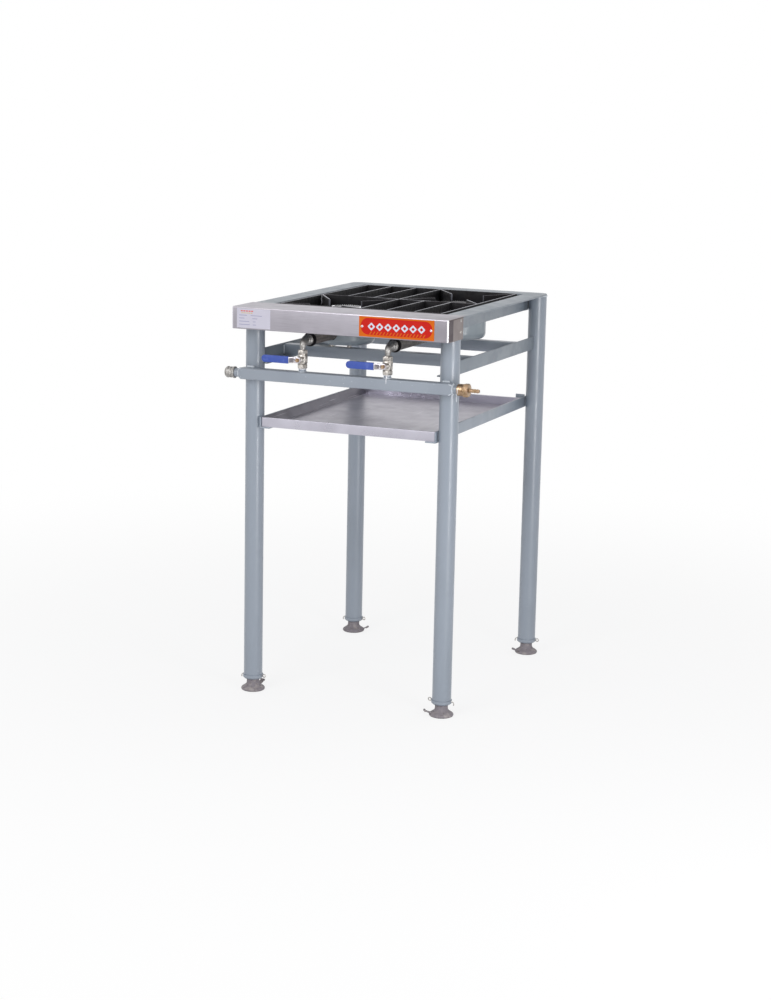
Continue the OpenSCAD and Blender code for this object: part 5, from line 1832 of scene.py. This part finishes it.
@dataclass
class BallValve:
    """A quarter-turn gas valve with its lever; its body carries the elbow above it."""

    side: Side
    barrel: float = 11.0
    barrel_height: float = 21.0
    flats: float = 20.0
    bore: float = 4.5
    thread: float = 7.0
    neck: float = 5.5
    boss: float = 6.5
    chamfer: float = 1.3

    @property
    def name(self) -> str:
        """The side's name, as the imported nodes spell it."""
        return self.side.name.lower()

    def hexagon(self, shape: Shape, foot: Vector, height: float, hole: float) -> None:
        """Mills a chamfered hexagon.

        Args:
            shape: The piece that it is added to.
            foot: The middle of its lower face.
            height: Its height.
            hole: The radius of the hole through it.
        """
        across = self.flats / 2
        tip = across / math.cos(math.pi / 6) + 0.05
        shape.turned(Axis.Z, foot, [(hole, 0), (across - 0.2, 0), (tip, self.chamfer),
                                    (tip, height - self.chamfer), (across - 0.2, height), (hole, height)],
                     72, self.flats, 90, loop=True)

    def body(self) -> None:
        """Turns the barrel and boss and mills the lower hexagon."""
        node = f"{self.name}_valve_body"
        box = Span.of(node)
        axis_y = Span.of("gas_manifold").middle.y
        foot = Vector((box.middle.x, axis_y, box.low.z))
        low = box.size.z - self.barrel_height
        r, top = self.barrel, box.size.z
        shape = Shape(f"{node}_forged")
        self.hexagon(shape, foot, low, self.thread)
        shape.turned(Axis.Z, foot, [(self.bore, low - 0.2), (r - 1.6, low - 0.2), (r - 0.9, low + 1.2),
                                    (r, low + 2.6), (r, top - 2.2), (r - 0.5, top - 1.4), (r - 0.5, top),
                                    (self.bore, top)], 56, loop=True)
        face = box.low.y - axis_y
        middle = Vector((foot.x, axis_y, box.low.z + low + self.barrel_height / 2))
        b = self.boss
        shape.turned(Axis.Y, middle, [(3.6, -4), (b + 1.6, -4), (b + 1.6, -9.5), (b + 0.6, -11.2),
                                      (b, -11.8), (b, face + 3.4), (b - 0.5, face + 2.8),
                                      (b - 0.5, face + 0.5), (b - 1, face), (3.6, face)], 40, loop=True)
        for turn in (35, 145):
            angle = math.radians(turn)
            at = middle + Vector((math.cos(angle) * 8.6, -9.2, math.sin(angle) * 8.6))
            shape.turned(Axis.Y, at, [(0.01, 0), (1.3, 0), (1.5, -0.4), (1.3, -0.9), (0.01, -1.0)], 14)
        shape.dress(STAND, "nickel", [NICKEL], [node])

    def lever(self) -> None:
        """Shows the strap with a patch of painted shade, the dipped sleeve and the nut."""
        body = f"{self.name}_valve_handle"
        strap, sleeve = Span.of(f"{self.name}_valve_lever"), Span.of(f"{self.name}_lever_sleeve")
        shape = Shape.of_node(f"{self.name}_valve_lever")
        shape.soften(0.45, 2)
        # A darker patch on the strap's face, as painted shade.
        patch_x = sleeve.high.x + 2.2
        shape.block((patch_x, strap.low.y - 0.18, strap.low.z + 1.8),
                    (patch_x + 10.5, strap.low.y + 0.3, strap.high.z - 1.8), 1)
        shape.dress(body, "lever_steel", [LEVER_STEEL, LEVER_SHADE], [f"{self.name}_valve_lever"])
        for node, edge, steps, slot, finish in ((f"{self.name}_lever_sleeve", 1.1, 3, "blue_vinyl", VINYL),
                                                (f"{self.name}_lever_nut", 0.45, 2, "brass", BRASS)):
            part = Shape.of_node(node)
            part.soften(edge, steps)
            part.dress(body, slot, [finish], [node])

    def elbow(self) -> None:
        """Sweeps the galvanised elbow from its narrow neck through its bulge to its collars."""
        node = f"{self.name}_elbow"
        box = Span.of(node)
        valve = Span.of("valve_end_pieces")
        axis_y = Span.of("gas_manifold").middle.y
        height = Span.of(f"{self.name}_air_shutter").middle.z
        x, face = box.middle.x, box.high.y
        bend, swell, rim, jet = 13.0, 8.7, 11.7, 6.5
        path = [Vector((x, axis_y, z)) for z in (box.low.z, valve.high.z - 0.5, valve.high.z + 1.5)]
        centre = Vector((x, axis_y + bend, height - bend))
        path += arc(centre, bend, 180, 90, Axis.X, 10)
        neck = self.neck
        radii = [neck - 0.2, neck - 0.2, neck] + [
            neck + 0.6 + (swell - neck - 0.6) * math.sin(math.pi * k / 20) for k in range(11)]
        path.append(Vector((x, axis_y + bend + 2.5, height)))
        radii.append(swell + 0.2)
        shape = Shape(f"{node}_cast")
        shape.pipe(path, radii, 32)
        reach = face - (axis_y + bend)
        shape.turned(Axis.Y, Vector((x, axis_y + bend, height)), [
            (jet, 1.0), (swell, 1.0), (rim - 1.6, 2.4), (rim - 0.9, 3.6), (rim - 0.9, reach - 9.4),
            (rim, reach - 8.6), (rim, reach - 6.0), (rim - 0.8, reach - 5.2), (rim - 0.8, reach - 3.6),
            (rim, reach - 2.8), (rim, reach - 0.6), (rim - 0.5, reach), (jet, reach)], 48, loop=True)
        shape.dress(STAND, "galvanised_iron", [GALVANISED], [node])

    def build(self) -> None:
        """Builds the valve, its lever and its elbow."""
        self.body()
        self.lever()
        self.elbow()


@dataclass
class ValveEnds:
    """The end pieces that close both valve bodies from above."""

    collar: float = 10.4

    def build(self, valves: Sequence[BallValve]) -> None:
        """Mills both end pieces as one piece.

        Args:
            valves: The valves that they close.
        """
        box = Span.of("valve_end_pieces")
        shape = Shape("valve_end_pieces_forged")
        for valve in valves:
            body = Span.of(f"{valve.name}_valve_body")
            foot = Vector((body.middle.x, Span.of("gas_manifold").middle.y, body.high.z))
            height = box.high.z - body.high.z - 0.8
            valve.hexagon(shape, foot + Vector((0, 0, 0.8)), height, valve.neck)
            shape.turned(Axis.Z, foot, [(valve.neck, -3), (self.collar - 2, -3), (self.collar - 2, 0),
                                        (self.collar, 0.05), (self.collar, 0.9), (valve.neck, 0.9)], 48,
                         loop=True)
        shape.dress(STAND, "nickel", [NICKEL], ["valve_end_pieces"])


# ---------------------------------------------------------------- tray, burners and grate


@dataclass
class Tray:
    """The folded drip tray on its runners."""

    lean: float = 9.0
    hem: float = 4.0
    bend: float = 1.6
    sheet: float = 1.0

    def build(self) -> None:
        """Folds the floor, the leaning sides and the hemmed ends."""
        box = Span.of("drip_tray")
        x0, y0, z0 = box.low
        x1, y1, z1 = box.high
        f0, f1 = x0 + self.lean, x1 - self.lean
        h0, h1 = y0 + self.hem, y1 - self.hem
        front, back = y0 + self.sheet / 2, y1 - self.sheet / 2
        shape = Shape("drip_tray_folded")
        shape.facet([(f0, front, z0), (f0, back, z0), (f1, back, z0), (f1, front, z0)], 0)
        # The left side takes the darker copy as painted shade.
        shape.facet([(x0, front, z1), (x0, back, z1), (f0, back, z0), (f0, front, z0)], 2)
        shape.facet([(f1, front, z0), (f1, back, z0), (x1, back, z1), (x1, front, z1)], 0)
        shape.thicken(self.sheet, self.bend * 1.6)
        for wall, inner in ((y0, h0), (y1, h1)):
            inward = 1 if inner > wall else -1
            profile = folded([(wall, z0), (wall, z1), (inner, z1), (inner, z1 - 3)], self.sheet * -inward,
                             self.bend * 0.5)
            shape.prism(profile, Axis.X, x0, x1, slot=1)
        shape.dress("tray", "stainless", [TRAY_STEEL, TRAY_HEM, SHADED_TRAY_SIDE], ["drip_tray"])


@dataclass
class Burner:
    """The toothed cap of one burner, over its bowl and head."""

    row: Row
    tooth_edge: float = 0.4
    teeth: int = 44
    tooth_height: float = 4.4
    foot_half: float = 1.45
    tip_half: float = 0.5

    def crown(self, shape: Shape, box: Span) -> None:
        """Stands a ring of milled teeth on the cap's rim.

        Args:
            shape: The piece that they are added to.
            box: The cap's box.
        """
        reach = box.size.x / 2 - 0.1
        outline = ((reach - 2.8, -1), (reach, -1), (reach, 1), (reach - 2.8, 1))
        foot = Vector((box.middle.x, box.middle.y, box.high.z - self.tooth_height))
        tip = foot + Vector((0, 0, self.tooth_height - 0.1))
        for k in range(self.teeth):
            angle = 2 * math.pi * k / self.teeth
            out = Vector((math.cos(angle), math.sin(angle), 0))
            across = Vector((-out.y, out.x, 0))
            shape.loft([[base + out * u + across * v * half for u, v in outline]
                        for base, half in ((foot, self.foot_half), (tip, self.tip_half))], 1)

    def build(self) -> None:
        """Builds the cap; the front cap's teeth carry a painted highlight, and the rear cap is darkened all
        over as painted shade.
        """
        row = self.row.name.lower()
        node = f"{row}_burner_cap"
        shape = Shape.of_node(node)
        head = Span.of(f"{row}_burner_head").high.z
        box = Span.of(node)
        reach = box.size.x / 2 - 7
        crown = head + (box.high.z - head) * 0.5

        def toothed(face: bmesh.types.BMFace) -> bool:
            """Says whether a face is on the teeth."""
            centre = face.calc_center_median()
            return (centre - box.middle).xy.length > reach and head - 1 < centre.z < crown

        shape.mark(1, toothed)
        shape.soften(self.tooth_edge, 1, 50)
        self.crown(shape, box)
        # Front teeth: painted highlight. Rear cap: painted shade all over.
        worn = [CAP_IRON, TEETH_HIGHLIGHT] if self.row is Row.FRONT else [SHADED_CAP, SHADED_CAP]
        shape.dress(f"{row}_cap", "cap_iron", worn, [node])


@dataclass
class Grate:
    """The welded pan grate: a rim, a cross, plain bars and fingers over the burners."""

    thickness: float = 4.0
    arris: float = 0.7
    bow: float = 1.6
    parts: tuple[str, ...] = ("grate_infill_bars", "grate_fingers")

    def cross_place(self) -> float:
        """Finds the cross bar from the plain bars, which stop at it.

        Returns:
            The y of its middle line.
        """
        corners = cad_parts["grate_infill_bars"].data.vertices
        limits = sorted({round(corner.co.y / METRES_PER_MM, 2) for corner in corners})
        return (limits[1] + limits[2]) / 2

    def mark_tops(self, shape: Shape, high: float) -> None:
        """Gives the bars' tops rubbed iron lightened as a painted highlight, and a darker copy as painted
        shade to those that run across or away to the right.

        Args:
            shape: The piece whose faces are marked.
            high: The height of the tops.
        """

        def top(face: bmesh.types.BMFace) -> bool:
            """Says whether a face is a bar's top."""
            return face.normal.z > 0.8 and face.calc_center_median().z > high - 1.5

        def dull(face: bmesh.types.BMFace) -> bool:
            """Says whether a top runs across the stand or away to the right.

            Args:
                face: One of the piece's faces.

            Returns:
                Whether it is such a top.
            """
            start, end = max(face.edges, key=lambda edge: edge.calc_length()).verts
            run = end.co - start.co
            return top(face) and math.degrees(math.atan2(run.y, run.x)) % 180 < 80

        shape.mark(1, top)
        shape.mark(3, dull)

    def mark_ends(self, shape: Shape) -> None:
        """Brightens the cut ends of the fingers, which pans rub, with a painted highlight over the wear.

        Args:
            shape: The fingers.
        """

        def cut_end(face: bmesh.types.BMFace) -> bool:
            """Says whether a face is a finger's free end."""
            square = max(abs(face.normal.x), abs(face.normal.y)) > 0.99
            return not square and abs(face.normal.z) < 0.1 and face.calc_area() < 150

        shape.mark(2, cut_end)

    def welds(self, shape: Shape, box: Span) -> None:
        """Lays a bead, lightened as a painted highlight, down two of the corners where the cross meets the
        rim.

        Args:
            shape: The piece that they are added to.
            box: The grate frame's box.
        """
        corners = ((box.low.x + self.thickness + 1.5, self.cross_place() - 12.0),
                   (box.middle.x + 2.6, box.high.y - self.thickness - 0.6))
        for x, y in corners:
            top = Vector((x, y, box.high.z - 0.8))
            sway = [top + Vector((0.7 * math.sin(k * 1.3), 0, -2.4 * k)) for k in range(10)]
            shape.bead(sway, 2.6, slot=2)

    def frame_bars(self) -> None:
        """Builds the rim and the cross, whose cross bar has bowed a little in the heat."""
        box = Span.of("grate_frame")
        half = self.thickness / 2
        x0, x1, y0, y1 = box.low.x + half, box.high.x - half, box.low.y + half, box.high.y - half
        paths = [[Vector((x, start, 0)), Vector((x, end, 0))]
                 for x, start, end in ((x0, y0 - half, y1 + half), (x1, y0 - half, y1 + half),
                                       (box.middle.x, y0 + half, y1 - half))]
        paths += [[Vector((x0 + half, y, 0)), Vector((x1 - half, y, 0))] for y in (y0, y1)]
        cross_y = self.cross_place()
        steps = 24
        cross = []
        for k in range(steps + 1):
            share = k / steps
            sway = self.bow * math.sin(2 * math.pi * share) * math.sin(math.pi * share)
            cross.append(Vector((x0 + half + (x1 - x0 - self.thickness) * share, cross_y + sway, 0)))
        shape = Shape("grate_frame_welded")
        for path in paths + [cross]:
            shape.bar(path, self.thickness, box.low.z, box.high.z, self.arris)
        self.mark_tops(shape, box.high.z)
        self.welds(shape, box)
        shape.dress("grate", "cast_iron", [CAST_IRON, RUBBED_LIT_TOP, WELD_HIGHLIGHT_IRON, RUBBED_SHADED_TOP], ["grate_frame"])

    def build(self) -> None:
        """Builds the grate's three parts."""
        self.frame_bars()
        for node in self.parts:
            shape = Shape.of_node(node)
            shape.soften(self.arris, 2)
            self.mark_tops(shape, Span.of(node).high.z)
            if node == "grate_fingers":
                self.mark_ends(shape)
            shape.dress("grate", "cast_iron", [CAST_IRON, RUBBED_LIT_TOP, LIT_FINGER_TIP, RUBBED_SHADED_TOP], [node])


# ---------------------------------------------------------------- the whole


def dress_kept_nodes() -> None:
    """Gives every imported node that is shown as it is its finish."""
    refinish(PAINT, "leg_front_left", "leg_front_right", "leg_rear_left", "leg_rear_right", "leg_end_rings")
    refinish(BOWL_PAINT, "front_burner_bowl", "rear_burner_bowl")
    refinish(ZINC, "burner_bolts")
    refinish(BRASS, "gas_jets", "left_valve_stem", "right_valve_stem")
    refinish(NICKEL, "left_valve_ball", "right_valve_ball")
    refinish(PTFE, "valve_seats")
    refinish(CAST_IRON, "left_air_shutter", "right_air_shutter", "front_burner_head", "rear_burner_head")
    refinish(BURNER_STEEL, "left_venturi", "right_venturi")


def main() -> None:
    """Builds the studio and every sub-assembly in order."""
    logging.basicConfig(level=logging.INFO, format="%(name)s: %(message)s")
    Studio().build()
    dress_kept_nodes()
    TopFrame().build()
    Steelwork().build()
    Welds().build()
    Feet().build()
    Fascia().build()
    Manifold().build()
    valves = [BallValve(side) for side in Side]
    for valve in valves:
        valve.build()
    ValveEnds().build(valves)
    Tray().build()
    for row in Row:
        Burner(row).build()
    Grate().build()


if __name__ == "__main__":
    main()
